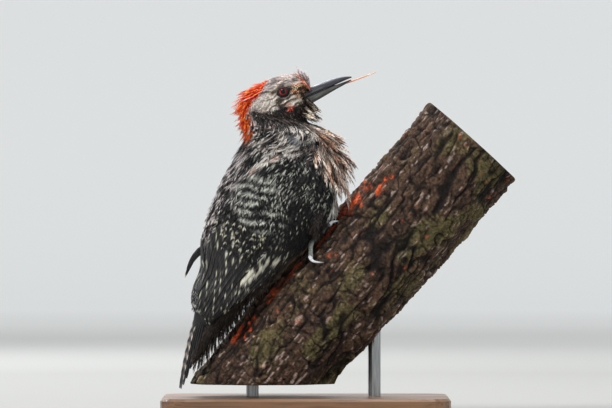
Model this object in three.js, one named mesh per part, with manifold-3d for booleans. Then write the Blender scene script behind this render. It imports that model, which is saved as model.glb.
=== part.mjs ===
// A life-size woodpecker of the barred-back kind, clinging to a short cut length of a leaning branch
// that two rods hold above a flat base. Millimetres, +Z up. The origin is under the middle of the base.
// The branch and the bird's backbone lie near the XZ plane. The bird's right side faces -Y.
import * as THREE from "three";
import { mergeVertices } from "three/addons/utils/BufferGeometryUtils.js";
import Module from "manifold-3d";

const wasm = await Module();
wasm.setup();

const GAP = 0.35; // clearance between pieces that touch
const SIDES = { right: 1, left: -1 };

// Base and rods
const BASE = { length: 184, width: 124, thickness: 12, corner: 16, chamfer: 1.6 };
const ROD = { radius: 4, sides: 16, inBase: 8, inPerch: 12 };
const ROD_X = { low: -34, high: 44 };

// Perch: a branch that leans in the XZ plane, thinner and steeper towards its foot
const PERCH = { lean: 48, radius: 36, footRadius: 33, footDrop: 3, middle: [-2, 53], cutZ: 20 };
const PERCH_SPAN = { low: -100, high: 164, rings: 17, sides: 26 };
const BARK_ROOM = { grow: 1.9, rings: 9, sides: 14 }; // a coarse hollow in the plumage, clear of the bark
const BARK = { ridge: 0.9, swelling: 1.1 };

// Bird, all measured on the living outline with its plumage
const ROLL = 16; // how far the back is rolled towards -Y
const UNROLL = [6.5, 10]; // the stations over which the neck turns the head upright again
const NECK_STATION = 8.1;
const HEAD_STATION = 10.15;
const RING_SIDES = 22;
const HEAD_Y = -21;

// Each station crosses the body from the back line to the belly line: x and z of both, width, depth in Y.
const STATIONS = [
  { name: "covert tips", back: [-73, 70], belly: [-50, 57], width: 24, y: -13 },
  { name: "tail root", back: [-71, 89], belly: [-35, 74], width: 36, y: -14.5 },
  { name: "rump", back: [-67, 110], belly: [-17.5, 89.5], width: 49, y: -16 },
  { name: "flank", back: [-61.5, 131], belly: [-1.5, 104.5], width: 58, y: -17.5 },
  { name: "belly", back: [-52.5, 152.5], belly: [11.5, 120.5], width: 63, y: -18 },
  { name: "shoulder", back: [-42.5, 169.5], belly: [25, 136.5], width: 62, y: -18 },
  { name: "breast", back: [-39, 178.5], belly: [29, 154], width: 56, y: -18.5 },
  { name: "ruff", back: [-39.5, 185.5], belly: [25.5, 173], width: 46, y: -19.5 },
  { name: "throat pit", back: [-41, 190], belly: [15, 183], width: 37, y: -20.5 },
  { name: "neck", back: [-42, 195.5], belly: [7.2, 186.5], width: 33, y: HEAD_Y },
  { name: "nape", back: [-38.5, 203.5], belly: [8, 190], width: 31.5, y: HEAD_Y },
  { name: "occiput", back: [-30, 211], belly: [8.6, 193.2], width: 30, y: HEAD_Y },
  { name: "crown", back: [-18, 216.6], belly: [8.4, 196], width: 27.5, y: HEAD_Y },
  { name: "brow", back: [-6, 217.6], belly: [7, 198.3], width: 22, y: HEAD_Y },
  { name: "bill root", back: [3, 210.6], belly: [4.8, 199.8], width: 11.4, y: HEAD_Y },
];

// Folded wing, as a shell on the body from the back edge to the belly edge (degrees round from the back)
const WING = { proud: 1.2, deep: 2.6, edge: 0.7, first: 0.1, last: 5.9, rows: 11, columns: 8 };
const WING_EDGES = [
  { at: 0.1, back: 34, belly: 100 },
  { at: 1, back: 22, belly: 132 },
  { at: 2, back: 17, belly: 149 },
  { at: 3, back: 21, belly: 154 },
  { at: 4, back: 33, belly: 150 },
  { at: 5, back: 50, belly: 137 },
  { at: 5.9, back: 70, belly: 114 },
];

// Folded primaries: a flat blade under the wing that runs on past it towards the tail tip
const BLADE = { first: -1.1, last: 3.6, rows: 10, columns: 6, thickness: 1.1, backCut: 14, bellyCut: 40 };
const BLADE_EDGES = [
  { at: 0, back: 78, belly: 143 },
  { at: 1, back: 66, belly: 147 },
  { at: 2, back: 60, belly: 152 },
  { at: 3, back: 60, belly: 148 },
  { at: 3.6, back: 68, belly: 132 },
];

const BLADE_TOP = -WING.deep - 3 * GAP;
const HOLLOW = { rise: 5, margin: 1 }; // a hollow's cutter: mm out of the plumage, degrees of side room

// A loose inner feather of the left wing that hooks out behind the back
const STRAY = { from: [-61, 111], bend: [-71, 102.5], to: [-76.8, 88.8], y: -2 };
const STRAY_VANE = { width: 8, thickness: 1, tipShare: 0.15, rows: 6 };

const TAIL = { root: [-55, 98], tip: [-79.5, 17.5], rootY: -15, tipY: -10, bow: 3.2, roof: 2.2 };
const TAIL_THICKNESS = { root: 3.4, tip: 1.2 };
const TAIL_WIDTHS = [15, 21, 26, 28, 27.5, 25, 20, 13, 5];
const TAIL_COLUMNS = 7;

// Head pieces
const EYE = { at: [-14.4, 206.6], radius: 3.9, out: 9.4 };
const LIDS = { from: 2.4, reach: 4, inner: 2.9, outer: 5.2 };
const BILL = { root: [0, 203], tip: [29.6, 215.2], start: -0.12, rows: 8, sides: 10 };
const UPPER_BILL = { up: 1, end: 1, depth: 4.7, width: 9.8, tipDepth: 0.8, tipWidth: 1.3, bulge: 4 };
const LOWER_BILL = { up: -1, end: 0.965, depth: 5.2, width: 8.8, tipDepth: 0.6, tipWidth: 1.1, bulge: 1.3 };
const TONGUE = { from: [14, 208.9], to: [44.7, 219.1], sag: 0.7, radius: 0.85, tipRadius: 0.32 };

// Legs: places on the branch as [mm up it, degrees round it from the bird's middle, height over the bark]
const LEG = { heel: [36, 15, 9], foot: [54, 17.5, 5.4], tarsusRadius: 1.9 };
const THIGH = { hip: [1, 128], out: 11, radius: 7, heelRadius: 2.8 };
const TOES = {
  1: { path: [[53, 15.5, 4.2], [49.5, 12, 3.8], [46.5, 9, 3]], claw: [-4, -2.5], radius: 1.15, bow: 0 },
  2: { path: [[56, 14.5, 4.4], [59.5, 11, 4.4], [63, 8.5, 3.4]], claw: [5.5, -2.5], radius: 1.4, bow: 0 },
  3: { path: [[56, 19.5, 4.8], [59.5, 18.5, 5], [63, 18.5, 3.8]], claw: [5.5, 0.5], radius: 1.6, bow: 0 },
  4: { path: [[52, 20, 6], [46, 23.5, 7.5], [39.5, 31, 5]], claw: [3, 10], radius: 1.75, bow: 2.2 },
};
const TOE_BESIDE = { 1: [4], 2: [3] }; // the toes that a toe makes way for
const TOE_SIDES = 6;
const FOOT_ROOM = { along: [38, 82], degrees: [4, 33], height: 10, floor: -4 };

const SKIN = {
  crown: 0x9c8a7c, nape: 0xd9401c, back: 0x26262a, wing: 0x1d1d20, horn: 0x3a3d46, claw: 0x8e9099,
  leg: 0x6d7069, tongue: 0xd98a62, eye: 0x190808, breast: 0xb59a80, bark: 0x4a3a30, stand: 0x2c2a28,
  steel: 0x77787a,
};

const rad = THREE.MathUtils.degToRad;
const { lerp, clamp, smoothstep } = THREE.MathUtils;
const TOWARDS_SIDE = new THREE.Vector3(0, -1, 0); // the bird's right
const UP_BRANCH = new THREE.Vector3(Math.cos(rad(PERCH.lean)), 0, Math.sin(rad(PERCH.lean)));
const OFF_BRANCH = new THREE.Vector3(-Math.sin(rad(PERCH.lean)), 0, Math.cos(rad(PERCH.lean)));

// ---- meshes and solids ----

// A closed mesh from points and triangles.
function meshOf(points, triangles) {
  const geometry = new THREE.BufferGeometry().setFromPoints(points);
  geometry.setIndex(triangles);
  return geometry;
}

// The exact solid of a closed mesh, turned to face outwards.
function solid(geometry) {
  const plain = geometry.clone();
  plain.deleteAttribute("normal");
  plain.deleteAttribute("uv");
  const merged = mergeVertices(plain, 1e-4);
  const build = (index) =>
    new wasm.Manifold(
      new wasm.Mesh({ numProp: 3, vertProperties: merged.attributes.position.array, triVerts: index }),
    );
  const made = build(new Uint32Array(merged.index.array));
  return made.volume() > 0 ? made : build(new Uint32Array(merged.index.array).reverse());
}

function geometryOf(made) {
  const { vertProperties, triVerts } = made.getMesh();
  const geometry = new THREE.BufferGeometry();
  geometry.setAttribute("position", new THREE.BufferAttribute(vertProperties, 3));
  geometry.setIndex(new THREE.BufferAttribute(triVerts, 1));
  geometry.computeVertexNormals();
  return geometry;
}

// A solid through rings that all have the same number of points, closed at both ends.
function loft(rings) {
  const count = rings[0].length;
  const points = rings.flat();
  const triangles = [];
  for (let i = 0; i + 1 < rings.length; i++)
    for (let j = 0; j < count; j++) {
      const [a, b] = [i * count + j, i * count + ((j + 1) % count)];
      triangles.push(a, b, b + count, a, b + count, a + count);
    }
  for (const [ring, first, turned] of [[rings[0], 0, true], [rings.at(-1), points.length - count, false]]) {
    const middle = points.push(centreOf(ring)) - 1;
    for (let j = 0; j < count; j++) {
      const [a, b] = [first + j, first + ((j + 1) % count)];
      triangles.push(...(turned ? [middle, b, a] : [middle, a, b]));
    }
  }
  return solid(meshOf(points, triangles));
}

// A solid between two grids of points that share their rows and columns.
function shell(outer, inner) {
  const [rows, columns] = [outer.length, outer[0].length];
  const points = [...outer.flat(), ...inner.flat()];
  const under = rows * columns;
  const triangles = [];
  const quad = (a, b, c, d) => triangles.push(a, b, c, a, c, d);
  for (let i = 0; i + 1 < rows; i++)
    for (let j = 0; j + 1 < columns; j++) {
      const a = i * columns + j;
      quad(a, a + 1, a + columns + 1, a + columns);
      quad(under + a, under + a + columns, under + a + columns + 1, under + a + 1);
    }
  const rim = [];
  for (let j = 0; j < columns; j++) rim.push(j);
  for (let i = 1; i < rows; i++) rim.push(i * columns + columns - 1);
  for (let j = columns - 2; j >= 0; j--) rim.push((rows - 1) * columns + j);
  for (let i = rows - 2; i > 0; i--) rim.push(i * columns);
  rim.forEach((a, k) => {
    const b = rim[(k + 1) % rim.length];
    quad(b, a, under + a, under + b);
  });
  return solid(meshOf(points, triangles));
}

function centreOf(ring) {
  return ring.reduce((sum, p) => sum.add(p), new THREE.Vector3()).divideScalar(ring.length);
}

// A round tube along points, with a radius for each share of its length, closed by blunt ends.
function tube(points, radiusAt, sides, rows) {
  const curve = new THREE.CatmullRomCurve3(points, false, "centripetal");
  const frames = curve.computeFrenetFrames(rows - 1, false);
  const rings = [];
  for (let i = 0; i < rows; i++) {
    const share = i / (rows - 1);
    const centre = curve.getPointAt(share);
    rings.push(
      Array.from({ length: sides }, (_, j) => {
        const turn = (2 * Math.PI * j) / sides;
        return centre
          .clone()
          .addScaledVector(frames.normals[i], radiusAt(share) * Math.cos(turn))
          .addScaledVector(frames.binormals[i], radiusAt(share) * Math.sin(turn));
      }),
    );
  }
  return loft(rings);
}

function box(width, depth, height, x, y, z) {
  return solid(new THREE.BoxGeometry(width, depth, height).translate(x, y, z));
}

function uprightRod(radius, fromZ, toZ, x) {
  const rod = new THREE.CylinderGeometry(radius, radius, toZ - fromZ, ROD.sides);
  return solid(rod.rotateX(Math.PI / 2).translate(x, 0, (fromZ + toZ) / 2));
}

// Reads a value between the rows of a table that is ordered by "at".
function between(table, at, key) {
  const next = table.findIndex((row) => row.at >= at);
  if (next <= 0) return table[next < 0 ? table.length - 1 : 0][key];
  const [low, high] = [table[next - 1], table[next]];
  return lerp(low[key], high[key], smoothstep(at, low.at, high.at));
}

// ---- perch ----

function perchAxis(along) {
  const foot = 1 - smoothstep(along, -90, 10);
  return new THREE.Vector3(PERCH.middle[0], 0, PERCH.middle[1])
    .addScaledVector(UP_BRANCH, along)
    .addScaledVector(OFF_BRANCH, -PERCH.footDrop * foot);
}

function perchRadius(along, turn) {
  const foot = 1 - smoothstep(along, -90, 10);
  const round = lerp(PERCH.radius, PERCH.footRadius, foot);
  const swelling = BARK.swelling * Math.sin(along / 31 + 2 * turn) * Math.sin(turn - 0.5);
  return round + swelling + BARK.ridge * Math.sin(7 * turn + along / 23);
}

// The point over the bark that lies "along" up the branch and "degrees" round it towards -Y.
function overBark(along, degrees, height) {
  const turn = rad(degrees);
  const out = OFF_BRANCH.clone().multiplyScalar(Math.cos(turn)).addScaledVector(TOWARDS_SIDE, Math.sin(turn));
  return perchAxis(along).addScaledVector(out, perchRadius(along, turn) + height);
}

function perchBody({ grow, rings, sides }) {
  return loft(
    Array.from({ length: rings }, (_, i) => {
      const along = lerp(PERCH_SPAN.low, PERCH_SPAN.high, i / (rings - 1));
      return Array.from({ length: sides }, (_, j) => overBark(along, (360 * j) / sides, grow));
    }),
  );
}

// ---- head, neck and trunk ----

const last = STATIONS.length - 1;
const curveOf = (pick) => new THREE.CatmullRomCurve3(STATIONS.map(pick), false, "catmullrom", 0.5);
const backLine = curveOf((s) => new THREE.Vector3(s.back[0], s.y, s.back[1]));
const bellyLine = curveOf((s) => new THREE.Vector3(s.belly[0], s.y, s.belly[1]));
const widthLine = curveOf((s, i) => new THREE.Vector3(s.width, i, 0));

// The directions of the back and of the right side, once "upright" is rolled towards that side.
function rolled(upright, turn) {
  return {
    dorsal: upright.clone().multiplyScalar(Math.cos(turn)).addScaledVector(TOWARDS_SIDE, Math.sin(turn)),
    lateral: TOWARDS_SIDE.clone().multiplyScalar(Math.cos(turn)).addScaledVector(upright, -Math.sin(turn)),
  };
}

// The cross-section at a station, whole or in between. Below the first one it runs on in a straight line.
function section(at) {
  const share = clamp(at, 0, last) / last;
  const [back, belly] = [backLine.getPoint(share), bellyLine.getPoint(share)];
  const below = Math.min(at, 0);
  if (below < 0)
    for (const [line, point] of [[backLine, back], [bellyLine, belly]])
      point.addScaledVector(line.getPoint(1 / last).sub(line.getPoint(0)), below);
  const upright = back.clone().sub(belly).normalize();
  return {
    centre: back.clone().add(belly).divideScalar(2),
    depth: back.distanceTo(belly) / 2,
    width: widthLine.getPoint(share).x / 2,
    ...rolled(upright, rad(ROLL * (1 - smoothstep(at, ...UNROLL)))),
  };
}

// The point on the body's outline, "degrees" round from the back towards the right, moved out by "out".
function onBody(at, degrees, out = 0, wide = 0) {
  const { centre, depth, width, dorsal, lateral } = section(at);
  const turn = rad(degrees);
  const radial = dorsal
    .multiplyScalar(depth * Math.cos(turn))
    .addScaledVector(lateral, (width + wide) * Math.sin(turn));
  return centre.add(radial.clone().addScaledVector(radial.normalize(), out));
}

function bodyLoft(from, to, rows, shift = 0) {
  const rings = [];
  for (let i = 0; i < rows; i++) {
    const at = lerp(from, to, i / (rows - 1));
    rings.push(Array.from({ length: RING_SIDES }, (_, j) => onBody(at, (360 * j) / RING_SIDES)));
  }
  // The first ring stands off the piece below it by the clearance.
  const { dorsal, lateral } = section(from);
  const ahead = dorsal.cross(lateral).normalize();
  rings[0].forEach((p) => p.addScaledVector(ahead, shift));
  return loft(rings);
}

// ---- wings ----

// Past the covert tips the wings stand clear of the tail, so they are wider there than the body is.
const wingSpread = (at) => 9 * (1 - smoothstep(at, 0.4, 2.4));

// The wing's grid of points at one depth. "margin" widens it all round, for the hollow that it lies in.
function wingGrid(side, out, margin) {
  const rows = [];
  for (let i = 0; i < WING.rows; i++) {
    const share = i / (WING.rows - 1);
    const at = lerp(WING.first - margin * 0.05, WING.last + margin * 0.05, share);
    const back = between(WING_EDGES, at, "back") - margin;
    const belly = between(WING_EDGES, at, "belly") + margin;
    rows.push(
      Array.from({ length: WING.columns }, (_, j) => {
        const across = j / (WING.columns - 1);
        const edge = Math.min(1, 6 * Math.min(across, 1 - across, share + 0.06, 1 - share + 0.05));
        return onBody(at, side * lerp(back, belly, across), out(edge), wingSpread(at));
      }),
    );
  }
  return rows;
}

function wing(side) {
  const depth = (edge) => lerp(WING.proud - WING.edge, -WING.deep, edge);
  return shell(wingGrid(side, () => WING.proud, 0), wingGrid(side, depth, 0));
}

function wingHollow(side) {
  const depth = (edge) => lerp(WING.proud - WING.edge - GAP, -WING.deep - GAP, edge);
  return shell(wingGrid(side, () => HOLLOW.rise, HOLLOW.margin), wingGrid(side, depth, HOLLOW.margin));
}

function bladeGrid(side, out, margin) {
  const rows = [];
  for (let i = 0; i < BLADE.rows; i++) {
    const at = lerp(BLADE.first - margin * 0.05, BLADE.last + margin * 0.05, i / (BLADE.rows - 1));
    const tip = smoothstep(-at, 0, -BLADE.first);
    const back = between(BLADE_EDGES, at, "back") - margin + BLADE.backCut * tip;
    const belly = between(BLADE_EDGES, at, "belly") + margin - BLADE.bellyCut * tip;
    rows.push(
      Array.from({ length: BLADE.columns }, (_, j) =>
        onBody(at, side * lerp(back, belly, j / (BLADE.columns - 1)), out, wingSpread(at)),
      ),
    );
  }
  return rows;
}

function blade(side) {
  return shell(bladeGrid(side, BLADE_TOP, 0), bladeGrid(side, BLADE_TOP - BLADE.thickness, 0));
}

function bladeHollow(side) {
  const floor = BLADE_TOP - BLADE.thickness - GAP;
  return shell(bladeGrid(side, HOLLOW.rise, HOLLOW.margin), bladeGrid(side, floor, HOLLOW.margin));
}

function strayFeather() {
  const at = ([x, z]) => new THREE.Vector3(x, STRAY.y, z);
  const curve = new THREE.CatmullRomCurve3([at(STRAY.from), at(STRAY.bend), at(STRAY.to)]);
  const { width, thickness, tipShare, rows } = STRAY_VANE;
  return loft(
    Array.from({ length: rows }, (_, i) => {
      const share = i / (rows - 1);
      const ahead = curve.getTangentAt(share);
      const halfWidth = (width / 2) * lerp(1, tipShare, share);
      const across = new THREE.Vector3(-ahead.z, 0, ahead.x).multiplyScalar(halfWidth);
      const thick = TOWARDS_SIDE.clone().multiplyScalar(thickness / 2);
      const corners = [across, thick, across.clone().negate(), thick.clone().negate()];
      return corners.map((corner) => curve.getPointAt(share).add(corner));
    }),
  );
}

// ---- tail ----

function tailGrid(face, margin) {
  const root = new THREE.Vector3(TAIL.root[0], TAIL.rootY, TAIL.root[1]);
  const tip = new THREE.Vector3(TAIL.tip[0], TAIL.tipY, TAIL.tip[1]);
  const down = tip.clone().sub(root);
  const upright = new THREE.Vector3(down.z, 0, -down.x).normalize();
  const { dorsal, lateral } = rolled(upright, rad(ROLL));
  return TAIL_WIDTHS.map((width, i) => {
    const share = i / (TAIL_WIDTHS.length - 1);
    const thickness = lerp(TAIL_THICKNESS.root, TAIL_THICKNESS.tip, share) / 2 + margin;
    const bowed = TAIL.bow * Math.sin(Math.PI * share);
    return Array.from({ length: TAIL_COLUMNS }, (_, j) => {
      const across = (2 * j) / (TAIL_COLUMNS - 1) - 1;
      const thin = lerp(thickness, 0.35 + margin, across * across);
      return root
        .clone()
        .addScaledVector(down, share)
        .addScaledVector(lateral, across * (width / 2 + margin))
        .addScaledVector(dorsal, bowed - TAIL.roof * across * across + face * thin);
    });
  });
}

const tailSolid = (margin) => shell(tailGrid(1, margin), tailGrid(-1, margin));

// ---- bill, tongue and eyes ----

// One half of the bill: a half-round bar along the bill's line, above it or below it.
function billHalf(size, grow = 0) {
  const root = new THREE.Vector3(BILL.root[0], HEAD_Y, BILL.root[1]);
  const along = new THREE.Vector3(BILL.tip[0], HEAD_Y, BILL.tip[1]).sub(root);
  const above = new THREE.Vector3(-along.z, 0, along.x).normalize();
  const rings = [];
  for (let i = 0; i < BILL.rows; i++) {
    const share = lerp(BILL.start - grow / 20, size.end, i / (BILL.rows - 1));
    const full = 1 - Math.max(0, share) ** size.bulge;
    const slim = 1 - Math.max(0, share) ** 1.2;
    const depth = lerp(size.tipDepth, size.depth, full) + 2 * grow;
    const width = lerp(size.tipWidth, size.width, slim) / 2 + grow;
    const parting = GAP / 2 + 0.4 * smoothstep(share, 0.35, 0.95) - grow;
    rings.push(
      Array.from({ length: BILL.sides }, (_, j) => {
        const turn = (2 * Math.PI * j) / BILL.sides;
        return root
          .clone()
          .addScaledVector(along, share)
          .addScaledVector(above, size.up * (parting + Math.max(0, Math.sin(turn)) * depth))
          .addScaledVector(TOWARDS_SIDE, Math.cos(turn) * width);
      }),
    );
  }
  return loft(rings);
}

function tongue(grow = 0) {
  const [from, to] = [TONGUE.from, TONGUE.to].map(([x, z]) => new THREE.Vector3(x, HEAD_Y, z));
  const middle = from.clone().lerp(to, 0.5);
  middle.z -= TONGUE.sag;
  const radiusAt = (share) => grow + lerp(TONGUE.radius, TONGUE.tipRadius, share);
  return tube([from, middle, to], radiusAt, 6, 7);
}

function eye(side, grow = 0) {
  const ball = new THREE.SphereGeometry(EYE.radius + grow, 12, 8); // its poles lie in Y
  return solid(ball.translate(EYE.at[0], HEAD_Y - side * EYE.out, EYE.at[1]));
}

// The funnel between the lids, from inside the eye out through the side of the head.
function lidOpening(side) {
  const { from, reach, inner, outer } = LIDS;
  const cone = new THREE.CylinderGeometry(outer, inner, reach, 16);
  if (side > 0) cone.rotateX(Math.PI);
  return solid(cone.translate(EYE.at[0], HEAD_Y - side * (EYE.out + from + reach / 2), EYE.at[1]));
}

// ---- legs ----

const place = (side, [along, degrees, height]) => overBark(along, ROLL + side * degrees, height);

function thigh(side, grow = 0) {
  const heel = place(side, LEG.heel);
  const hip = new THREE.Vector3(THIGH.hip[0], STATIONS[4].y - side * THIGH.out, THIGH.hip[1]);
  const middle = hip.clone().lerp(heel, 0.5);
  const roundedTop = (share) => Math.min(1, 0.72 + 3 * share);
  const radiusAt = (share) => grow + lerp(THIGH.radius, THIGH.heelRadius, share ** 0.8) * roundedTop(share);
  return tube([hip, middle, heel], radiusAt, 10, 7);
}

function tarsus(side, grow = 0) {
  const [heel, foot] = [place(side, LEG.heel), place(side, LEG.foot)];
  const radiusAt = (share) => LEG.tarsusRadius * (1 + 0.35 * (2 * share - 1) ** 2) + grow;
  return tube([heel, heel.clone().lerp(foot, 0.5), foot], radiusAt, 9, 6);
}

function toe(side, { path, radius }, grow = 0) {
  const radiusAt = (share) => radius * (1.12 - 0.3 * share + 0.1 * Math.cos(9 * share)) + grow;
  return tube(path.map((p) => place(side, p)), radiusAt, TOE_SIDES, 6);
}

// A hooked claw that rises a little out of the toe's end and comes down on the bark.
function claw(side, { path, radius, claw: reach, bow }) {
  const [before, end] = [path.at(-2), path.at(-1)];
  const start = [0, 1].map((k) => end[k] + 0.13 * (end[k] - before[k]));
  const points = [0, 0.3, 0.62, 1].map((share) => [
    lerp(start[0], end[0] + reach[0], share) - bow * Math.sin(Math.PI * share),
    lerp(start[1], end[1] + reach[1], share),
    lerp(end[2] + 0.5 * Math.sin(Math.PI * share), 0.4, share * share),
  ]);
  return tube(points.map((p) => place(side, p)), (share) => lerp(radius * 0.75, 0.26, share), 6, 6);
}

// The space that belly and wing leave over a foot.
function footRoom(side) {
  const { along, degrees, height, floor } = FOOT_ROOM;
  const layer = (level) =>
    [0, 0.33, 0.67, 1].map((up) =>
      [0, 0.5, 1].map((round) => place(side, [lerp(...along, up), lerp(...degrees, round), level])),
    );
  return shell(layer(height), layer(floor));
}

// ---- base ----

function baseSolid() {
  const ring = (z, inset) => {
    const points = [];
    for (const [sx, sy, quarter] of [[1, 1, 0], [-1, 1, 1], [-1, -1, 2], [1, -1, 3]])
      for (let step = 0; step <= 4; step++) {
        const turn = ((quarter + step / 4) * Math.PI) / 2;
        const reach = BASE.corner - inset;
        points.push(
          new THREE.Vector3(
            sx * (BASE.length / 2 - BASE.corner) + reach * Math.cos(turn),
            sy * (BASE.width / 2 - BASE.corner) + reach * Math.sin(turn),
            z,
          ),
        );
      }
    return points;
  };
  const { thickness, chamfer } = BASE;
  return loft([ring(0, 0), ring(thickness - chamfer, 0), ring(thickness, chamfer)]);
}

// ---- the whole object ----

const bird = new THREE.Group();
const part = new THREE.Group();
part.add(bird);

function add(parent, name, made, color, roughness = 0.8, metalness = 0) {
  const material = new THREE.MeshStandardMaterial({ color, roughness, metalness });
  const mesh = new THREE.Mesh(geometryOf(made), material);
  mesh.name = name;
  parent.add(mesh);
}

const barkRoom = perchBody(BARK_ROOM);
const barkClearance = perchBody({ ...PERCH_SPAN, grow: GAP });
const clearOfBark = (made) => made.subtract(barkRoom);
const offBark = (made) => made.subtract(barkClearance);
const without = (made, ...others) => others.reduce((left, other) => left.subtract(other), made);
const bothSides = (make) => Object.values(SIDES).map((side) => make(side));

const leg = (side) => [thigh(side, GAP), tarsus(side, GAP)];

const trunk = without(
  bodyLoft(0, NECK_STATION, 19),
  tailSolid(GAP),
  ...bothSides((side) => [wingHollow(side), bladeHollow(side), footRoom(side), ...leg(side)]).flat(),
);
add(bird, "trunk", clearOfBark(trunk), SKIN.back);
add(bird, "neck", bodyLoft(NECK_STATION, HEAD_STATION, 6, GAP), SKIN.nape);

const head = without(
  bodyLoft(HEAD_STATION, last, 10, GAP),
  billHalf(UPPER_BILL, GAP),
  billHalf(LOWER_BILL, GAP),
  ...bothSides((side) => eye(side, GAP)),
  ...bothSides((side) => lidOpening(side)),
);
add(bird, "head", head, SKIN.crown);
add(bird, "bill_upper", without(billHalf(UPPER_BILL), tongue(GAP)), SKIN.horn, 0.4);
add(bird, "bill_lower", without(billHalf(LOWER_BILL), tongue(GAP)), SKIN.horn, 0.4);
add(bird, "tongue", tongue(), SKIN.tongue, 0.5);
add(bird, "tail", clearOfBark(tailSolid(0)), SKIN.wing);

for (const [name, side] of Object.entries(SIDES)) {
  const folded = name === "left" ? wing(side).add(strayFeather()) : wing(side);
  add(bird, `eye_${name}`, eye(side), SKIN.eye, 0.1);
  add(bird, `wing_${name}`, clearOfBark(without(folded, footRoom(side), ...leg(side))), SKIN.wing);
  add(bird, `primaries_${name}`, clearOfBark(without(blade(side), footRoom(side), ...leg(side))), SKIN.wing);
  add(bird, `thigh_${name}`, clearOfBark(without(thigh(side), tarsus(side, GAP))), SKIN.breast);
  add(bird, `tarsus_${name}`, offBark(tarsus(side)), SKIN.leg);
  for (const [number, shape] of Object.entries(TOES)) {
    const beside = (TOE_BESIDE[number] ?? []).map((other) => toe(side, TOES[other], GAP));
    const toeMade = without(toe(side, shape), tarsus(side, GAP), ...beside);
    const clawMade = without(claw(side, shape), toe(side, shape, GAP));
    add(bird, `toe_${name}_${number}`, offBark(toeMade), SKIN.leg);
    add(bird, `claw_${name}_${number}`, offBark(clawMade), SKIN.claw, 0.35);
  }
}

// The branch is sawn level over the base and square across at its top, and bored for the rods.
let perch = perchBody({ ...PERCH_SPAN, grow: 0 }).intersect(box(400, 200, 400, 0, 0, PERCH.cutZ + 200));
let base = baseSolid();
const underside = { low: PERCH.cutZ, high: undersideAt(ROD_X.high) };
for (const [name, x] of Object.entries(ROD_X)) {
  const foot = BASE.thickness - ROD.inBase;
  const top = underside[name] + ROD.inPerch;
  const bore = uprightRod(ROD.radius + GAP, foot - GAP, top + GAP, x);
  perch = perch.subtract(bore);
  base = base.subtract(bore);
  add(part, `stand_rod_${name}`, uprightRod(ROD.radius, foot, top, x), SKIN.steel, 0.4, 0.8);
}
add(part, "perch", perch, SKIN.bark, 0.95);
add(part, "stand_base", base, SKIN.stand, 0.6);

// The height of the branch's underside over a place on the base's long middle line.
function undersideAt(x) {
  const along = (x - PERCH.middle[0] - PERCH.radius * UP_BRANCH.z) / UP_BRANCH.x;
  return perchAxis(along).addScaledVector(OFF_BRANCH, -PERCH.radius).z;
}

export default part;
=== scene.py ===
"""A woodpecker clinging to a short leaning branch on a display stand, dressed in feathers, horn and bark.

Shapes are worked out in millimetres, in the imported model's frame, and turned into metres as meshes are made.
The bird's right side faces -Y, its bill points towards +X. "at" runs along the body through the stations
below, 0 at the covert tips and 14 at the bill root; "deg" turns round it, 0 the back and 180 the belly.
"""
import math

import bmesh
import bpy
import numpy as np
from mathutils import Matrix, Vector


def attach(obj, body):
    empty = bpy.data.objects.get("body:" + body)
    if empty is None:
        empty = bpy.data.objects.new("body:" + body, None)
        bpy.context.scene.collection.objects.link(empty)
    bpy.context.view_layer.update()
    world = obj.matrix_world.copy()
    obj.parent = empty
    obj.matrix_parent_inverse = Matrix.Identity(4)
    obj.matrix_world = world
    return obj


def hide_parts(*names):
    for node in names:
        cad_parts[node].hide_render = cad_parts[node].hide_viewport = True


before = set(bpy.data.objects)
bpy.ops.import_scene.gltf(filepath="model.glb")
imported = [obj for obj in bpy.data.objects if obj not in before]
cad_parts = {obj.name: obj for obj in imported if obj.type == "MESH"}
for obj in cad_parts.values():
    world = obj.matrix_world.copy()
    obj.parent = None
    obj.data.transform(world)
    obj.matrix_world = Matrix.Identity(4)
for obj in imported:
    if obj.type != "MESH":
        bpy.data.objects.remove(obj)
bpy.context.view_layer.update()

MM = 0.001
SIDES = {"right": 1, "left": -1}
TOWARDS_SIDE = np.array([0.0, -1.0, 0.0])  # out of the bird's right side

# ---- driving dimensions, in millimetres and degrees, as the solids have them ----

ROLL = 16  # the body leans this far over towards its right side
UNROLL = (6.5, 10)  # stations over which the neck turns the head level again
HEAD_Y = -21  # the middle plane of head and bill
STATIONS = [  # back (x, z), belly (x, z), width, y
    ((-73, 70), (-50, 57), 24, -13),
    ((-71, 89), (-35, 74), 36, -14.5),
    ((-67, 110), (-17.5, 89.5), 49, -16),
    ((-61.5, 131), (-1.5, 104.5), 58, -17.5),
    ((-52.5, 152.5), (11.5, 120.5), 63, -18),
    ((-42.5, 169.5), (25, 136.5), 62, -18),
    ((-39, 178.5), (29, 154), 56, -18.5),
    ((-39.5, 185.5), (25.5, 173), 46, -19.5),
    ((-41, 190), (15, 183), 37, -20.5),
    ((-42, 195.5), (7.2, 186.5), 33, -21),
    ((-38.5, 203.5), (8, 190), 31.5, -21),
    ((-30, 211), (8.6, 193.2), 30, -21),
    ((-18, 216.6), (8.4, 196), 27.5, -21),
    ((-6, 217.6), (7, 198.3), 22, -21),
    ((3, 210.6), (4.8, 199.8), 11.4, -21),
]
WING_EDGES = {  # at: (deg of the upper edge, deg of the lower edge)
    0.1: (34, 100), 1: (22, 132), 2: (17, 149), 3: (21, 154), 4: (33, 150), 5: (50, 137), 5.9: (70, 114),
}
WING_PROUD = 1.2  # a folded wing lies this far over the body
WING_TIPS_OUT = 9  # the folded wings' tips stand this far out sideways
FAR_WING = 0.6  # the share of that which the far wing has, held closer
TAIL = {"root": (-55, 98), "tip": (-79.5, 17.5), "root_y": -15, "tip_y": -10, "bow": 3.2, "roof": 2.2}
STRAY = {"from": (-62, 110), "bend": (-71.6, 100.6), "to": (-77.2, 88.4), "y": -2}
EYE = {"at": (-14.4, 206.6), "radius": 3.9, "out": 9.4}
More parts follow.
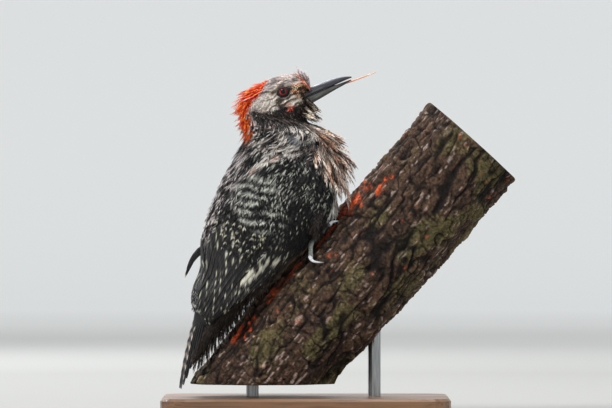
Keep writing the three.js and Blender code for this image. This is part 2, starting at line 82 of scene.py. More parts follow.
BILL = {"root": (0, 203), "tip": (29.6, 215.2), "start": -0.12}
TONGUE = {"from": (14, 208.9), "to": (44.7, 219.1), "sag": 0.7, "radius": 1.0, "tip_radius": 0.34}
PERCH = {
    "lean": 48, "radius": 36, "foot_radius": 33, "foot_drop": 3, "middle": (-2, 53), "cut_z": 20, "top": 164,
}
LEG = {"heel": (36, 15, 9), "foot": (54, 17.5, 5.4), "radius": 1.9}  # places as the toes have them
THIGH = {"hip": (1, 128), "out": 11, "radius": 7, "heel_radius": 2.8}  # hip: at and deg, out mm under the skin
TOES = {  # along the branch, degrees round it as seen from the bird, and height over it
    1: {
        "path": ((53, 15.5, 4.2), (49.5, 12, 3.8), (46.5, 9, 3)),
        "claw": (-4, -2.5), "radius": 1.15, "bow": 0,
    },
    2: {
        "path": ((56, 14.5, 4.4), (59.5, 11, 4.4), (63, 8.5, 3.4)),
        "claw": (5.5, -2.5), "radius": 1.4, "bow": 0,
    },
    3: {
        "path": ((56, 19.5, 4.8), (59.5, 18.5, 5), (63, 18.5, 3.8)),
        "claw": (5.5, 0.5), "radius": 1.6, "bow": 0,
    },
    4: {
        "path": ((52, 20, 6), (46, 23.5, 7.5), (39.5, 31, 5)),
        "claw": (3, 10), "radius": 1.75, "bow": 2.2,
    },
}


# ---- colours, named as a painter would, in display values and kept as linear light ----

def paint(red, green, blue):
    """A display colour from 0 to 255 as linear light."""
    c = np.array([red, green, blue]) / 255
    return np.where(c <= 0.04045, c / 12.92, ((c + 0.055) / 1.055) ** 2.4)


BLACK = paint(17, 16, 18)
SOOT = paint(37, 35, 38)
WHITE = paint(226, 225, 218)
IVORY = paint(226, 222, 184)
PINKISH = paint(214, 196, 188)
CREAM = paint(222, 208, 194)
GREY = paint(132, 128, 126)
BROWN = paint(84, 66, 54)
RUST = paint(168, 96, 52)
ORANGE = paint(255, 122, 36)
RED = paint(236, 48, 18)
LID = paint(34, 31, 34)
PUPIL = paint(8, 7, 9)
IRIS = paint(124, 26, 26)
IRIS_LIT = paint(206, 66, 58)
IRIS_EDGE = paint(62, 22, 18)


# ---- small mathematics ----

def smooth(x, start, end):
    """0 before start, 1 after end, and a smooth step between them."""
    t = np.clip((np.asarray(x, float) - start) / (end - start), 0, 1)
    return t * t * (3 - 2 * t)


def lerp(a, b, t):
    """a to b by the share t."""
    return a + (b - a) * t


def unit(v):
    return v / np.maximum(np.linalg.norm(v, axis=-1, keepdims=True), 1e-9)


def dot(a, b):
    return np.sum(a * b, axis=-1)


def mix(a, b, share):
    """Colours a and b mixed by a share for each vertex."""
    return a + (b - a) * np.asarray(share)[..., None]


def bell(*parts):
    """1 where every part is 0, fading to next to nothing where one of them is past 2 either way."""
    return np.exp(-sum(part**2 for part in parts))


def lengths_along(line):
    """How far along a line of points each of them lies, from 0 at its start."""
    return np.concatenate([[0], np.cumsum(np.linalg.norm(np.diff(line, axis=0), axis=1))])


def random_at(ix, iy, iz, seed):
    """A repeatable random number from -1 to 1 for whole-number places."""
    with np.errstate(over="ignore"):
        h = ix.astype(np.uint32) * np.uint32(374761393)
        h ^= iy.astype(np.uint32) * np.uint32(668265263)
        h ^= iz.astype(np.uint32) * np.uint32(2246822519)
        h += np.uint32((seed * 3266489917) & 0xFFFFFFFF)
        h ^= h >> np.uint32(15)
        h *= np.uint32(2246822519)
        h ^= h >> np.uint32(13)
        h *= np.uint32(3266489917)
        h ^= h >> np.uint32(16)
    return h / 2147483647.5 - 1


def noise(x, y, z, seed=0):
    """Smooth noise from -1 to 1 with features one unit across."""
    x, y, z = np.broadcast_arrays(x, y, z)
    cell = [np.floor(c) for c in (x, y, z)]
    part = [c - f for c, f in zip((x, y, z), cell)]
    fade = [p * p * (3 - 2 * p) for p in part]
    whole = [f.astype(np.int64) for f in cell]
    total = 0
    for i in (0, 1):
        for j in (0, 1):
            for k in (0, 1):
                weight = 1
                for step, share in zip((i, j, k), fade):
                    weight = weight * (share if step else 1 - share)
                total = total + weight * random_at(whole[0] + i, whole[1] + j, whole[2] + k, seed)
    return total


def noise_at(place, size, seed):
    """Noise over places in space, with features size mm across, or a size for each axis."""
    return noise(*np.moveaxis(place / size, -1, 0), seed)


def catmull(points, t):
    """The points' Catmull-Rom curve at t, from 0 to 1 over all of them."""
    p = np.asarray(points, float)
    p = np.vstack([2 * p[0] - p[1], p, 2 * p[-1] - p[-2]])
    spans = len(p) - 3
    s = np.clip(np.asarray(t, float), 0, 1) * spans
    i = np.minimum(s.astype(int), spans - 1)
    f = (s - i)[..., None]
    p0, p1, p2, p3 = p[i], p[i + 1], p[i + 2], p[i + 3]
    v0, v1 = (p2 - p0) / 2, (p3 - p1) / 2
    return (2 * p1 - 2 * p2 + v0 + v1) * f**3 + (3 * p2 - 3 * p1 - 2 * v0 - v1) * f**2 + v0 * f + p1


# ---- the body's surface ----

STATION_ROWS = np.array([[b[0], y, b[1], s[0], y, s[1], w] for b, s, w, y in STATIONS], float)
LAST_STATION = len(STATIONS) - 1
BELOW_TIP = (STATION_ROWS[1] - STATION_ROWS[0]) * np.array([1, 1, 1, 1, 1, 1, 0])


def in_plane(spot, y=HEAD_Y):
    """A place given by x and z, by default in the head's middle plane."""
    return np.array([spot[0], y, spot[1]])


def wrap(deg):
    """The same turn between -180 and 180."""
    return (np.asarray(deg, float) + 180) % 360 - 180


def section(at):
    """Centre, half depth, half width, and the directions of the back and of the right side."""
    at = np.asarray(at, float)
    row = catmull(STATION_ROWS, at / LAST_STATION) + np.minimum(at, 0)[..., None] * BELOW_TIP
    back, belly, width = row[..., :3], row[..., 3:6], row[..., 6]
    upright = unit(back - belly)
    turn = np.radians(ROLL * (1 - smooth(at, *UNROLL)))[..., None]
    dorsal = upright * np.cos(turn) + TOWARDS_SIDE * np.sin(turn)
    lateral = TOWARDS_SIDE * np.cos(turn) - upright * np.sin(turn)
    return (back + belly) / 2, np.linalg.norm(back - belly, axis=-1) / 2, width / 2, dorsal, lateral


def on_body(at, deg, out=0.0, wide=0.0):
    """The place on the body that is out mm over its surface, the body being wide mm wider each side."""
    at, deg, out, wide = np.broadcast_arrays(np.asarray(at, float), deg, out, wide)
    centre, depth, half, dorsal, lateral = section(at)
    a = np.radians(deg)
    radial = dorsal * (depth * np.cos(a))[..., None] + lateral * ((half + wide) * np.sin(a))[..., None]
    return centre + radial + unit(radial) * out[..., None]


def wing_edge(at, edge):
    """The deg of a folded wing's upper (0) or lower (1) edge."""
    return np.interp(at, list(WING_EDGES), [pair[edge] for pair in WING_EDGES.values()])


def wing_share(at, deg):
    """1 where a folded wing covers the body, fading to 0 past its edges."""
    turn = np.abs(wrap(deg))
    inside = smooth(turn, wing_edge(at, 0) - 10, wing_edge(at, 0) + 8)
    inside = inside * (1 - smooth(turn, wing_edge(at, 1) - 8, wing_edge(at, 1) + 3))
    return inside * smooth(at, -0.4, 0.5) * (1 - smooth(at, 5.3, 6.1))


def wing_spread(at, deg):
    """How far sideways the folded wings stand out from the body's own width."""
    return WING_TIPS_OUT * (1 - smooth(at, 0.4, 2.4)) * np.where(wrap(deg) < 0, FAR_WING, 1.0)


FRONT_SINK = (  # at, and how far the lying coat is drawn in there down the front
    (4.5, 5, 5.5, 6, 6.5, 7, 7.5, 8, 8.6, 11.2, 11.9, 13, 13.6, 14),
    (0, 6, 7.5, 8, 9.5, 11.5, 11, 8, 5.5, 5.5, 8, 8, 5, 3),
)


def sunk(at, deg):
    """How far the lying coat is drawn in from the outline of its loose tufts: gape, throat, breast and rump."""
    turn = np.abs(wrap(deg))
    front = np.interp(at, *FRONT_SINK) * smooth(turn, 104, 146) * (1 - wing_share(at, deg))
    edge = 12.9 - 0.03 * (turn - 70)
    gape = 8.0 * smooth(at, edge - 0.5, edge + 0.6) * smooth(turn, 60, 82) * (1 - 0.6 * smooth(at, 13, 14))
    saddle = 5.0 * bell((at - 1.3) / 0.65) * (1 - smooth(turn, 35, 75))
    return np.maximum(front, gape) + saddle


def plumage(at, deg, height):
    """The outer surface of body and folded wings; height is out from it."""
    share = wing_share(at, deg)
    return on_body(at, deg, height - sunk(at, deg) + WING_PROUD * share, wing_spread(at, deg) * share)


BODY_ATS = np.linspace(-1.5, LAST_STATION, 311)
BODY_LENGTHS = lengths_along(section(BODY_ATS)[0])


def unwrap(at, deg):
    """A place on the body as a place on the flattened skin, from 0 to 1 both ways."""
    along = np.interp(at, BODY_ATS, BODY_LENGTHS) / BODY_LENGTHS[-1]
    return np.stack([0.02 + 0.96 * (wrap(deg) / 360 + 0.5), 0.02 + 0.96 * along], axis=-1)


# ---- meshes ----

def mesh_object(name, points, faces, tint=None, uv=None, material=None):
    """points in mm, faces as triangles or quads, and a colour and a place in OFBake for each point."""
    faces = np.asarray(faces, np.int32)
    corners = faces.shape[1]
    mesh = bpy.data.meshes.new(name)
    mesh.vertices.add(len(points))
    mesh.vertices.foreach_set("co", (np.asarray(points, np.float32) * MM).ravel())
    mesh.loops.add(faces.size)
    mesh.loops.foreach_set("vertex_index", faces.ravel())
    mesh.polygons.add(len(faces))
    mesh.polygons.foreach_set("loop_start", np.arange(0, faces.size, corners, dtype=np.int32))
    mesh.polygons.foreach_set("use_smooth", np.ones(len(faces), bool))
    mesh.update(calc_edges=True)
    if tint is not None:
        colours = np.ones((len(points), 4), np.float32)
        colours[:, :3] = tint
        mesh.color_attributes.new("tint", "FLOAT_COLOR", "POINT").data.foreach_set("color", colours.ravel())
    if uv is not None:
        layer = mesh.uv_layers.new(name="OFBake")
        layer.data.foreach_set("uv", np.asarray(uv, np.float32)[faces.ravel()].ravel())
    thing = bpy.data.objects.new(name, mesh)
    bpy.context.scene.collection.objects.link(thing)
    if material:
        mesh.materials.append(material)
    return thing


def grid_faces(rows, columns, closed=False, start=0):
    """Quads between rows of points; closed joins the last column to the first."""
    r = np.arange(rows - 1)[:, None]
    c = np.arange(columns if closed else columns - 1)[None, :]
    after = (c + 1) % columns
    corners = (r * columns + c, r * columns + after, (r + 1) * columns + after, (r + 1) * columns + c)
    return np.stack(np.broadcast_arrays(*corners), -1).reshape(-1, 4) + start


def split(quads):
    """Each quad as two triangles."""
    return np.vstack([quads[:, [0, 1, 2]], quads[:, [0, 2, 3]]])


def tube_mesh(rings):
    """A closed tube through rings of points (rows, sides, 3): its points and triangles."""
    rows, sides = rings.shape[:2]
    points = np.vstack([rings.reshape(-1, 3), rings[0].mean(0), rings[-1].mean(0)])
    first, last = rows * sides, rows * sides + 1
    c = np.arange(sides)
    after = (c + 1) % sides
    caps = [np.stack([np.full(sides, first), after, c], -1)]
    caps.append(np.stack([np.full(sides, last), c + (rows - 1) * sides, after + (rows - 1) * sides], -1))
    return points, np.vstack([split(grid_faces(rows, sides, True)), *caps])


def by_ring(values, sides, ends=(0, 1)):
    """A value for each ring as one for each point of tube_mesh; ends are those of its two end points."""
    return np.concatenate([np.repeat(values, sides), ends])


def by_side(values, rows, ends=(0, 0)):
    """A value for each side as one for each point of tube_mesh; ends are those of its two end points."""
    return np.concatenate([np.tile(values, rows), ends])


def tube_uv(run, rows, sides, edge=0.05):
    """A tube laid flat in OFBake, from edge to 1 - edge across; run says how far along it each point is."""
    return np.stack([by_side(np.linspace(edge, 1 - edge, sides), rows, (0.5, 0.5)), 0.02 + 0.96 * run], -1)


def sweep(path, radii, sides, up=(0.13, 0.2, 1), flat=1.0, bumps=None):
    """Rings of a round section along path (rows, 3); flat squeezes it along up, bumps adds to each radius."""
    ahead = unit(np.gradient(path, axis=0))
    across = unit(np.cross(ahead, np.asarray(up, float)))
    over = np.cross(across, ahead)
    a = np.linspace(0, 2 * math.pi, sides, endpoint=False)
    size = np.broadcast_to(np.asarray(radii)[:, None], (len(path), sides))
    if bumps is not None:
        size = size + bumps
    sideways, upward = np.cos(a) * size, np.sin(a) * size * flat
    return path[:, None] + (across[:, None] * sideways[..., None] + over[:, None] * upward[..., None])


# ---- materials ----

def material(name):
    """A new material, its node tree and its shader."""
    made = bpy.data.materials.new(name)
    made.use_nodes = True
    tree = made.node_tree
    shader = tree.nodes["Principled BSDF"]
    return made, tree, shader


def node(tree, kind, **values):
    """A new node with the inputs or settings that values names."""
    made = tree.nodes.new(kind)
    for key, value in values.items():
        if key in made.inputs:
            made.inputs[key].default_value = value
        else:
            setattr(made, key, value)
    return made


def noise_field(tree, scale, detail=3, stretch=None, roughness=0.6):
    """A noise over the object's own coordinates, stretched by its scale along each axis."""
    place = tree.nodes.new("ShaderNodeTexCoord")
    made = node(tree, "ShaderNodeTexNoise", Scale=scale, Detail=detail, Roughness=roughness)
    if stretch:
        squeeze = node(tree, "ShaderNodeMapping")
        squeeze.inputs["Scale"].default_value = stretch
        tree.links.new(place.outputs["Object"], squeeze.inputs["Vector"])
        tree.links.new(squeeze.outputs["Vector"], made.inputs["Vector"])
    else:
        tree.links.new(place.outputs["Object"], made.inputs["Vector"])
    return made.outputs["Fac"]


def ramp(tree, source, stops):
    """A colour ramp over source, with stops of (place, colour or grey)."""
    made = tree.nodes.new("ShaderNodeValToRGB")
    elements = made.color_ramp.elements
    while len(elements) < len(stops):
        elements.new(0.5)
    for element, (place, value) in zip(elements, stops):
        element.position = place
        colour = value if np.ndim(value) else (value, value, value)
        element.color = (*colour, 1)
    tree.links.new(source, made.inputs["Fac"])
    return made.outputs["Color"]


def multiply(tree, first, second):
    """The product of two colours."""
    made = tree.nodes.new("ShaderNodeMix")
    made.data_type = "RGBA"
    made.blend_type = "MULTIPLY"
    made.inputs["Factor"].default_value = 1.0
    tree.links.new(first, made.inputs["A"])
    tree.links.new(second, made.inputs["B"])
    return made.outputs["Result"]


def bump(tree, shader, source, strength, distance):
    """Gives the shader relief from source, distance metres high."""
    made = node(tree, "ShaderNodeBump", Strength=strength, Distance=distance)
    tree.links.new(source, made.inputs["Height"])
    tree.links.new(made.outputs["Normal"], shader.inputs["Normal"])


def painted(name, rough, grain=900, grain_low=0.8, grain_high=1.15, sheen=0.0, coat=0.0, bump_mm=0.0,
            bump_scale=1500, specular=0.4, rough_spread=0.1):
    """A finish that takes its colour from the mesh's tint, with a fine grain in tone, gloss and relief."""
    made, tree, shader = material(name)
    tint = node(tree, "ShaderNodeAttribute", attribute_name="tint")
    fine = noise_field(tree, grain)
    tone = ramp(tree, fine, [(0.25, grain_low), (0.75, grain_high)])
    tree.links.new(multiply(tree, tint.outputs["Color"], tone), shader.inputs["Base Color"])
    gloss = ramp(tree, fine, [(0.3, rough - rough_spread), (0.7, min(1, rough + rough_spread))])
    tree.links.new(gloss, shader.inputs["Roughness"])
    shader.inputs["Specular IOR Level"].default_value = specular
    shader.inputs["Sheen Weight"].default_value = sheen
    shader.inputs["Sheen Roughness"].default_value = 0.4
    shader.inputs["Coat Weight"].default_value = coat
    shader.inputs["Coat Roughness"].default_value = 0.08
    if bump_mm:
        bump(tree, shader, noise_field(tree, bump_scale), 1.0, bump_mm * MM)
    return made


FEATHER = painted("feather", rough=0.62, sheen=0.05, specular=0.25)
QUILL = painted("flight_feather", rough=0.45, grain=700, specular=0.35)
SKIN_FINISH = painted("skin", rough=0.7, bump_mm=0.12)
HORN = painted("horn", rough=0.42, grain=500, grain_low=0.85, grain_high=1.12, bump_mm=0.05, bump_scale=900,
               specular=0.3)
SCALY = painted("scales", rough=0.5, grain=700, bump_mm=0.08)
WET = painted("wet", rough=0.28, coat=0.6)
EYE_FINISH = painted("eye", rough=0.12, grain=2500, grain_low=0.75, grain_high=1.2, coat=0.25, specular=0.15,
                     rough_spread=0.04)


def finish_piece(thing, slot, *nodes):
    """Makes a piece ride on the body and stand for the solids named; its slot is not used."""
    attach(thing, "root")
    if nodes:
        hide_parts(*nodes)


# ---- barbs: the closed three-sided locks that every feather is made of ----

class Frames:
    """For each place on a surface, how far at and deg change for a millimetre ahead and for one across."""

    def __init__(self, surface, at, deg, ahead=None):
        step_at, step_deg = 0.02, 0.5
        along = (surface(at + step_at, deg, 0) - surface(at - step_at, deg, 0)) / (2 * step_at)
        around = (surface(at, deg + step_deg, 0) - surface(at, deg - step_deg, 0)) / (2 * step_deg)
        out = unit(np.cross(around, along))
        out = out * np.sign(dot(out, surface(at, deg, 1.0) - surface(at, deg, 0)))[..., None]
        want = -unit(along) if ahead is None else ahead(at, deg, -unit(along))
        self.ahead = unit(want - out * dot(want, out)[..., None])
        across = np.cross(out, self.ahead)
        aa, ad, dd = dot(along, along), dot(along, around), dot(around, around)
        area = aa * dd - ad * ad
        self.at, self.deg = at, deg
        self.turns = []
        for way in (self.ahead, across):
            p, q = dot(along, way), dot(around, way)
            self.turns.append(((dd * p - ad * q) / area, (aa * q - ad * p) / area))
        self.lateral_sign = np.sign(dot(across, around)) * np.sign(wrap(deg))

    def move(self, a, b):
        """at and deg of the points a mm ahead and b mm across; a and b have one more axis than the frames."""
        (at_a, deg_a), (at_b, deg_b) = self.turns
        at = self.at[..., None] + at_a[..., None] * a + at_b[..., None] * b
        deg = self.deg[..., None] + deg_a[..., None] * a + deg_b[..., None] * b
        return at, deg

    def pick(self, index):
        """The frames of the places with these numbers, for moving from them."""
        other = object.__new__(Frames)
        other.at, other.deg = self.at[index], self.deg[index]
        other.turns = [(p[index], q[index]) for p, q in self.turns]
        return other


def lock_faces(count, sections):
    """Triangles of count closed locks, each of sections three-point rings and a tip."""
    one = [(0, 1, 2)]
    for k in range(sections - 1):
        left, right, top = 3 * k, 3 * k + 1, 3 * k + 2
        one += [(right, right + 3, top + 3), (right, top + 3, top)]
        one += [(left, top, top + 3), (left, top + 3, left + 3)]
        one += [(left, left + 3, right + 3), (left, right + 3, right)]
    left, right, top, tip = 3 * sections - 3, 3 * sections - 2, 3 * sections - 1, 3 * sections
    one += [(right, tip, top), (left, top, tip), (left, tip, right)]
    size = 3 * sections + 1
    return (np.array(one)[None] + (np.arange(count) * size)[:, None, None]).reshape(-1, 3)


def at_corners(values):
    """Values along each lock's centre line, one for each point: three at every ring and one at the tip."""
    sections = values.shape[1] - 1
    return values[:, np.append(np.repeat(np.arange(sections), 3), sections)]


class Coat:
    """Gathers locks and makes one piece of them."""

    def __init__(self, name, surface=plumage):
        self.name, self.surface = name, surface
        self.points, self.faces, self.tints, self.uvs = [], [], [], []
        self.count = 0

    def add(self, frames, a, b, height, half, thick, tint, patch):
        """a, b, height: the lock's centre line (locks, sections + 1); half, thick: (locks, sections).
        tint(at, deg, place) gives colours, patch the lock's places in OFBake for its centre line."""
        run = np.stack([np.diff(a), np.diff(b)], -1)
        run = run / np.maximum(np.linalg.norm(run, axis=-1, keepdims=True), 1e-6)
        side_a, side_b = -run[..., 1] * half, run[..., 0] * half
        ca, cb, ch = a[:, :-1], b[:, :-1], height[:, :-1]
        locks, sections = half.shape

        def woven(left, right, top, tip):
            rings = np.stack([left, right, top], 2).reshape(locks, 3 * sections)
            return np.concatenate([rings, tip[:, -1:]], 1)

        all_a = woven(ca + side_a, ca - side_a, ca, a)
        all_b = woven(cb + side_b, cb - side_b, cb, b)
        all_h = woven(ch, ch, ch + thick, height)
        at, deg = frames.move(all_a, all_b)
        points = self.surface(at, deg, all_h)
        colours = np.broadcast_to(tint(at, deg, points), points.shape)
        self.points.append(points.reshape(-1, 3))
        self.tints.append(colours.reshape(-1, 3))
        self.uvs.append(at_corners(patch).reshape(-1, 2))
        self.faces.append(lock_faces(locks, sections) + self.count)
        self.count += locks * (3 * sections + 1)

    def make(self, finish, slot, *nodes):
        parts = [np.vstack(rows) for rows in (self.points, self.faces, self.tints, self.uvs)]
        finish_piece(mesh_object(self.name, *parts, finish), slot, *nodes)


PATCH = 0.003  # how wide a small feather's own patch is in OFBake
JITTER = 0.22  # how far a feather strays from its place in its row, as a share of the gap
PROBE = 0.05  # stations: the stretch over which a station's length is measured


def scatter(rng, low, high, row_gap, column_gap, keep=None, surface=plumage):
    """Places for feathers in staggered rows, row_gap(at) and column_gap(at) mm apart, where keep(at, deg)."""
    ats, degs = [], []
    at, row = low, 0
    turn = np.linspace(-180, 180, 145)
    while at < high:
        round_it = lengths_along(surface(np.full(turn.shape, at), turn, 0))
        count = max(4, int(round_it[-1] / column_gap(at)))
        share = (np.arange(count) + 0.5 * (row % 2) + rng.uniform(-JITTER, JITTER, count)) / count
        deg = np.interp((share % 1) * round_it[-1], round_it, turn)
        ends = section(np.array([at, at + PROBE]))[0]
        step = row_gap(at) / (np.linalg.norm(ends[1] - ends[0]) / PROBE)
        here = at + rng.uniform(-JITTER, JITTER, count) * step
        chosen = keep(here, deg) if keep else slice(None)
        ats.append(here[chosen])
        degs.append(deg[chosen])
        at += step
        row += 1
    return np.concatenate(ats), np.concatenate(degs)


def feathers(coat, rng, at, deg, length, width, depth, lift, pairs, barb, tint, ahead=None, curl=0.0,
             flare=0.0, loose=0.12, thick=0.22, arch=0.0, twist=0.0):
    """Small feathers: each a fan of barb locks either side of its shaft, rooted deep and ending at the surface.
    Sizes are in mm: barb is half a lock's width, flare how far the tip stands out, and curl bends it sideways.
    tint(at, deg, place, u, v, feather, lock) gives colours: u runs along the feather and v across it, and
    feather and lock are random numbers from -1 to 1."""
    count = len(at)
    length, width, depth, lift, curl, flare = (
        np.broadcast_to(np.asarray(x, float), (count,)) for x in (length, width, depth, lift, curl, flare)
    )
    frames = Frames(coat.surface, at, deg, ahead)
    per = 2 * pairs + 1
    k = np.concatenate([np.arange(pairs), np.arange(pairs), [pairs]]) / pairs  # up the shaft, the tip lock last
    side = np.concatenate([np.ones(pairs), -np.ones(pairs), [0]])
    index = np.repeat(np.arange(count), per)
    k, side = np.tile(k, count), np.tile(side, count)
    long, wide = length[index], width[index] / 2
    wild = rng.uniform(-1, 1, (count * per, 3))
    start = long * (0.08 + 0.72 * k**0.9)
    reach = np.clip(0.42 + 0.34 * k**1.2 + 0.26 * k, 0, 1) + 0.05 * wild[:, 0] + loose * 0.4 * wild[:, 1] * k
    end = np.maximum(long * np.minimum(reach, 1.04), start + 0.16 * long)
    outline = np.sin(np.pi * np.clip(end / long, 0, 1) ** 1.3 * 0.93 + 0.12) ** 0.55
    spread = side * wide * np.clip(outline, 0.06, 1) * (1 + loose * wild[:, 1])
    spread = spread + loose * 0.5 * wide * wild[:, 2] * k
    a = np.stack([start, lerp(start, end, 0.5), end], 1)
    b = np.stack([0 * spread, 0.62 * spread, spread], 1)
    long, wide = long[:, None], wide[:, None]
    u, v = a / long, b / wide
    b = b + curl[index][:, None] * u**2 * long
    sunk_root = depth[index][:, None] * (1 - np.clip(u, 0, 1.05))
    height = -sunk_root + lift[index][:, None] * u - 0.08 * wide * v**2
    risen = lerp(u**2, 1 - (1 - np.minimum(u, 1)) ** 2, arch)  # arch 1 stands out at once and then droops
    height = height + flare[index][:, None] * risen + 0.12 * wild[:, 0][:, None] * u
    stands = np.arctan2(flare, length)[index][:, None]  # a twisted feather shows its broad side from the side
    a = a - twist * b * np.sin(stands)
    height = height + twist * b * np.cos(stands)
    half = barb * np.array([[0.85, 1.0]]) * (1 + 0.2 * wild[:, 1:2])
    high = np.broadcast_to(np.array([0.8, 1.0]) * thick, half.shape)
    patch = unwrap(at, deg)[index][:, None] + PATCH * np.stack([v * 0.45, u - 0.5], -1)
    one_feather = rng.uniform(-1, 1, (count, 1))[index]
    one_lock = rng.uniform(-1, 1, (count * per, 1))

    def colours(at_here, deg_here, place):
        return tint(at_here, deg_here, place, at_corners(u), at_corners(v), one_feather, one_lock)

    coat.add(frames.pick(index), a, b, height, half, high, colours, patch)


def quill(coat, rng, root, tip, bow, outer, inner, heights, tilt, tint, cell, number=0, gap=0.85, blunt=0.8,
          slope=1.5, taper=0.0):
    """One flight feather from root to tip, both (at, deg): two vanes of barb locks on a shaft.
    outer and inner are the vanes' widths, heights its heights over the surface at root, middle and tip, and
    tilt how much higher its outer edge lies. blunt is where its tip starts to round off, slope how far its
    barbs lean and taper how much its vanes narrow. cell is its own strip (low u, high u) of OFBake."""
    fine = np.linspace(0, 1, 160)

    def path(u):
        return lerp(root[0], tip[0], u), lerp(root[1], tip[1], u) + bow * np.sin(np.pi * u)

    def rise(u):
        return np.interp(u, [0, 0.5, 1], heights)

    run = lengths_along(coat.surface(*path(fine), rise(fine)))
    length = run[-1]
    count = int(length / gap)
    s = np.linspace(0.03, 1, count)
    u = np.interp(s * length, run, fine)
    nose, tail = path(np.minimum(u + 0.01, 1.01)), path(u - 0.01)
    heading = unit(coat.surface(*nose, rise(u)) - coat.surface(*tail, rise(u)))
    frames = Frames(coat.surface, *path(u), lambda *_: heading)
    out_side = np.sign(np.mean(frames.lateral_sign))
    for way, width in ((out_side, outer), (-out_side, inner)):
        wild = rng.uniform(-1, 1, (count, 3))
        grow = np.minimum(1, (s / 0.12) ** 0.6)
        ends = np.clip((s - blunt) / (1 - blunt), 0, 1)
        w = width * grow * (1 - taper * s) * np.sqrt(np.clip(1 - ends**2.2, 0.0, 1)) + 0.25
        w = w * (1 + 0.025 * wild[:, 0])
        w = w * np.where(rng.uniform(0, 1, count) < 0.03, 0.86, 1)
        lean = np.minimum(slope * w * (1 - 0.35 * ends), (1 - s) * length + 0.6)
        a = np.stack([0 * w, 0.42 * lean, 0.8 * lean, lean], 1)
        b = way * np.stack([0 * w, 0.5 * w, 0.86 * w, w], 1)
        h = rise(u)[:, None] + way * out_side * tilt * np.abs(b) / max(outer, inner) - 0.05 * np.abs(b)
        half = np.array([[gap * 0.42, gap * 0.5, gap * 0.36]]) * (1 + 0.1 * wild[:, 1:2])
        high = np.broadcast_to(np.array([0.2, 0.17, 0.12]), half.shape)
        v = out_side * b / width  # positive on the outer vane
        along = s[:, None] + a / length
        across = lerp(cell[0], cell[1], 0.5 + 0.46 * np.clip(v, -1, 1))
        lock_tone = rng.uniform(-1, 1, (count, 1))
        lock_tone = (lock_tone + np.roll(lock_tone, 1, 0) + np.roll(lock_tone, 2, 0)) / 2

        def colours(at_here, deg_here, place, along=along, v=v, lock_tone=lock_tone):
            return tint(at_here, deg_here, place, at_corners(along), at_corners(v), number, lock_tone, length)

        strip = np.stack([across, 0.02 + 0.95 * np.clip(along, 0, 1)], -1)
        coat.add(frames, a, b, h, half, high, colours, strip)
    shaft_u = np.interp(np.linspace(0, 0.985, 15) * length, run, fine)
    steps = np.diff(coat.surface(*path(shaft_u), rise(shaft_u)), axis=0)
    before = shaft_u[:-1]
    shaft = Frames(coat.surface, *path(before), lambda *_: unit(steps))
    step = np.linalg.norm(steps, axis=1)
    a = np.stack([0 * step, step * 0.6, step * 1.25], 1)
    share = np.linspace(0, 1, len(step))[:, None]
    half = lerp(0.5, 0.14, share) * np.array([[1.0, 0.95]])
    strip = np.stack([np.full(a.shape, lerp(cell[0], cell[1], 0.5)), share * 0.95 + 0.02 + 0 * a], -1)

    def shaft_colour(at_here, deg_here, place):
        return lerp(BLACK, SOOT, 0.8)

    coat.add(shaft, a, 0 * a, rise(before)[:, None] + 0.12 + 0 * a, half, half * 0.75, shaft_colour, strip)


# ---- markings ----

RED_AT = (5.3, 5.9, 7.15, 8.2, 9.35, 10.3, 10.9, 11.3, 11.55)
RED_DEG = (5, 15, 24, 33, 41, 45, 37, 26, 0)


def red_share(at, deg, ragged):
    """1 on the red of the nape, which ends in a ragged edge."""
    edge = np.interp(at, RED_AT, RED_DEG, left=0, right=0)
    return smooth(edge + 4 * ragged - np.abs(wrap(deg)), -2, 3) * smooth(at, 5.2, 5.9)


def with_red(tone, at, deg, u, feather, lock):
    """A tone with the red of the nape over it."""
    return mix(tone, nape_colour(at, u, lock), red_share(at, deg, 0.8 * feather + 0.3 * lock))


def face_place(deg, place):
    """Degrees from the back, and two noises: coarse over a couple of mm, broad over six."""
    return np.abs(wrap(deg)), noise_at(place, 2.2, 3), noise_at(place, 6, 4)


def wavy(place, slope, along, across, seed):
    """A noise of wavy lines seen from the side, running down and back at a slope."""
    x, y, z = np.moveaxis(place, -1, 0)
    p = x * math.cos(slope) + z * math.sin(slope)
    q = z * math.cos(slope) - x * math.sin(slope)
    q = q + 1.1 * noise(p / 3.6, q / 3.6, y / 6, seed)
    return noise(p / along, q / across, y / 3, seed + 1)


def nape_colour(at, u, lock):
    """Red at the root, orange to the tip and lower down, painted shade at the root, a few pale gold highlights.
    """
    hot = mix(RED, ORANGE, smooth(0.6 * lock + u + 0.35 * (1 - smooth(at, 9, 10.5)), 0.5, 1.3))
    # painted shade: darker towards the feather's root
    hot = hot * (1 - 0.5 * (1 - smooth(u, 0.1, 0.55)))[..., None]
    # painted highlights: a few pale gold barbs
    return mix(hot, paint(255, 190, 90), 0.7 * smooth(lock + 0.3 * u, 1.0, 1.14))


CHEEK_EDGE = (  # deg, and the at where the black of the throat begins
    (40, 52, 64, 73, 91, 100, 109, 116, 125, 135),
    (8.7, 8.85, 9.0, 9.1, 9.8, 10.15, 10.45, 10.9, 11.6, 12.6),
)


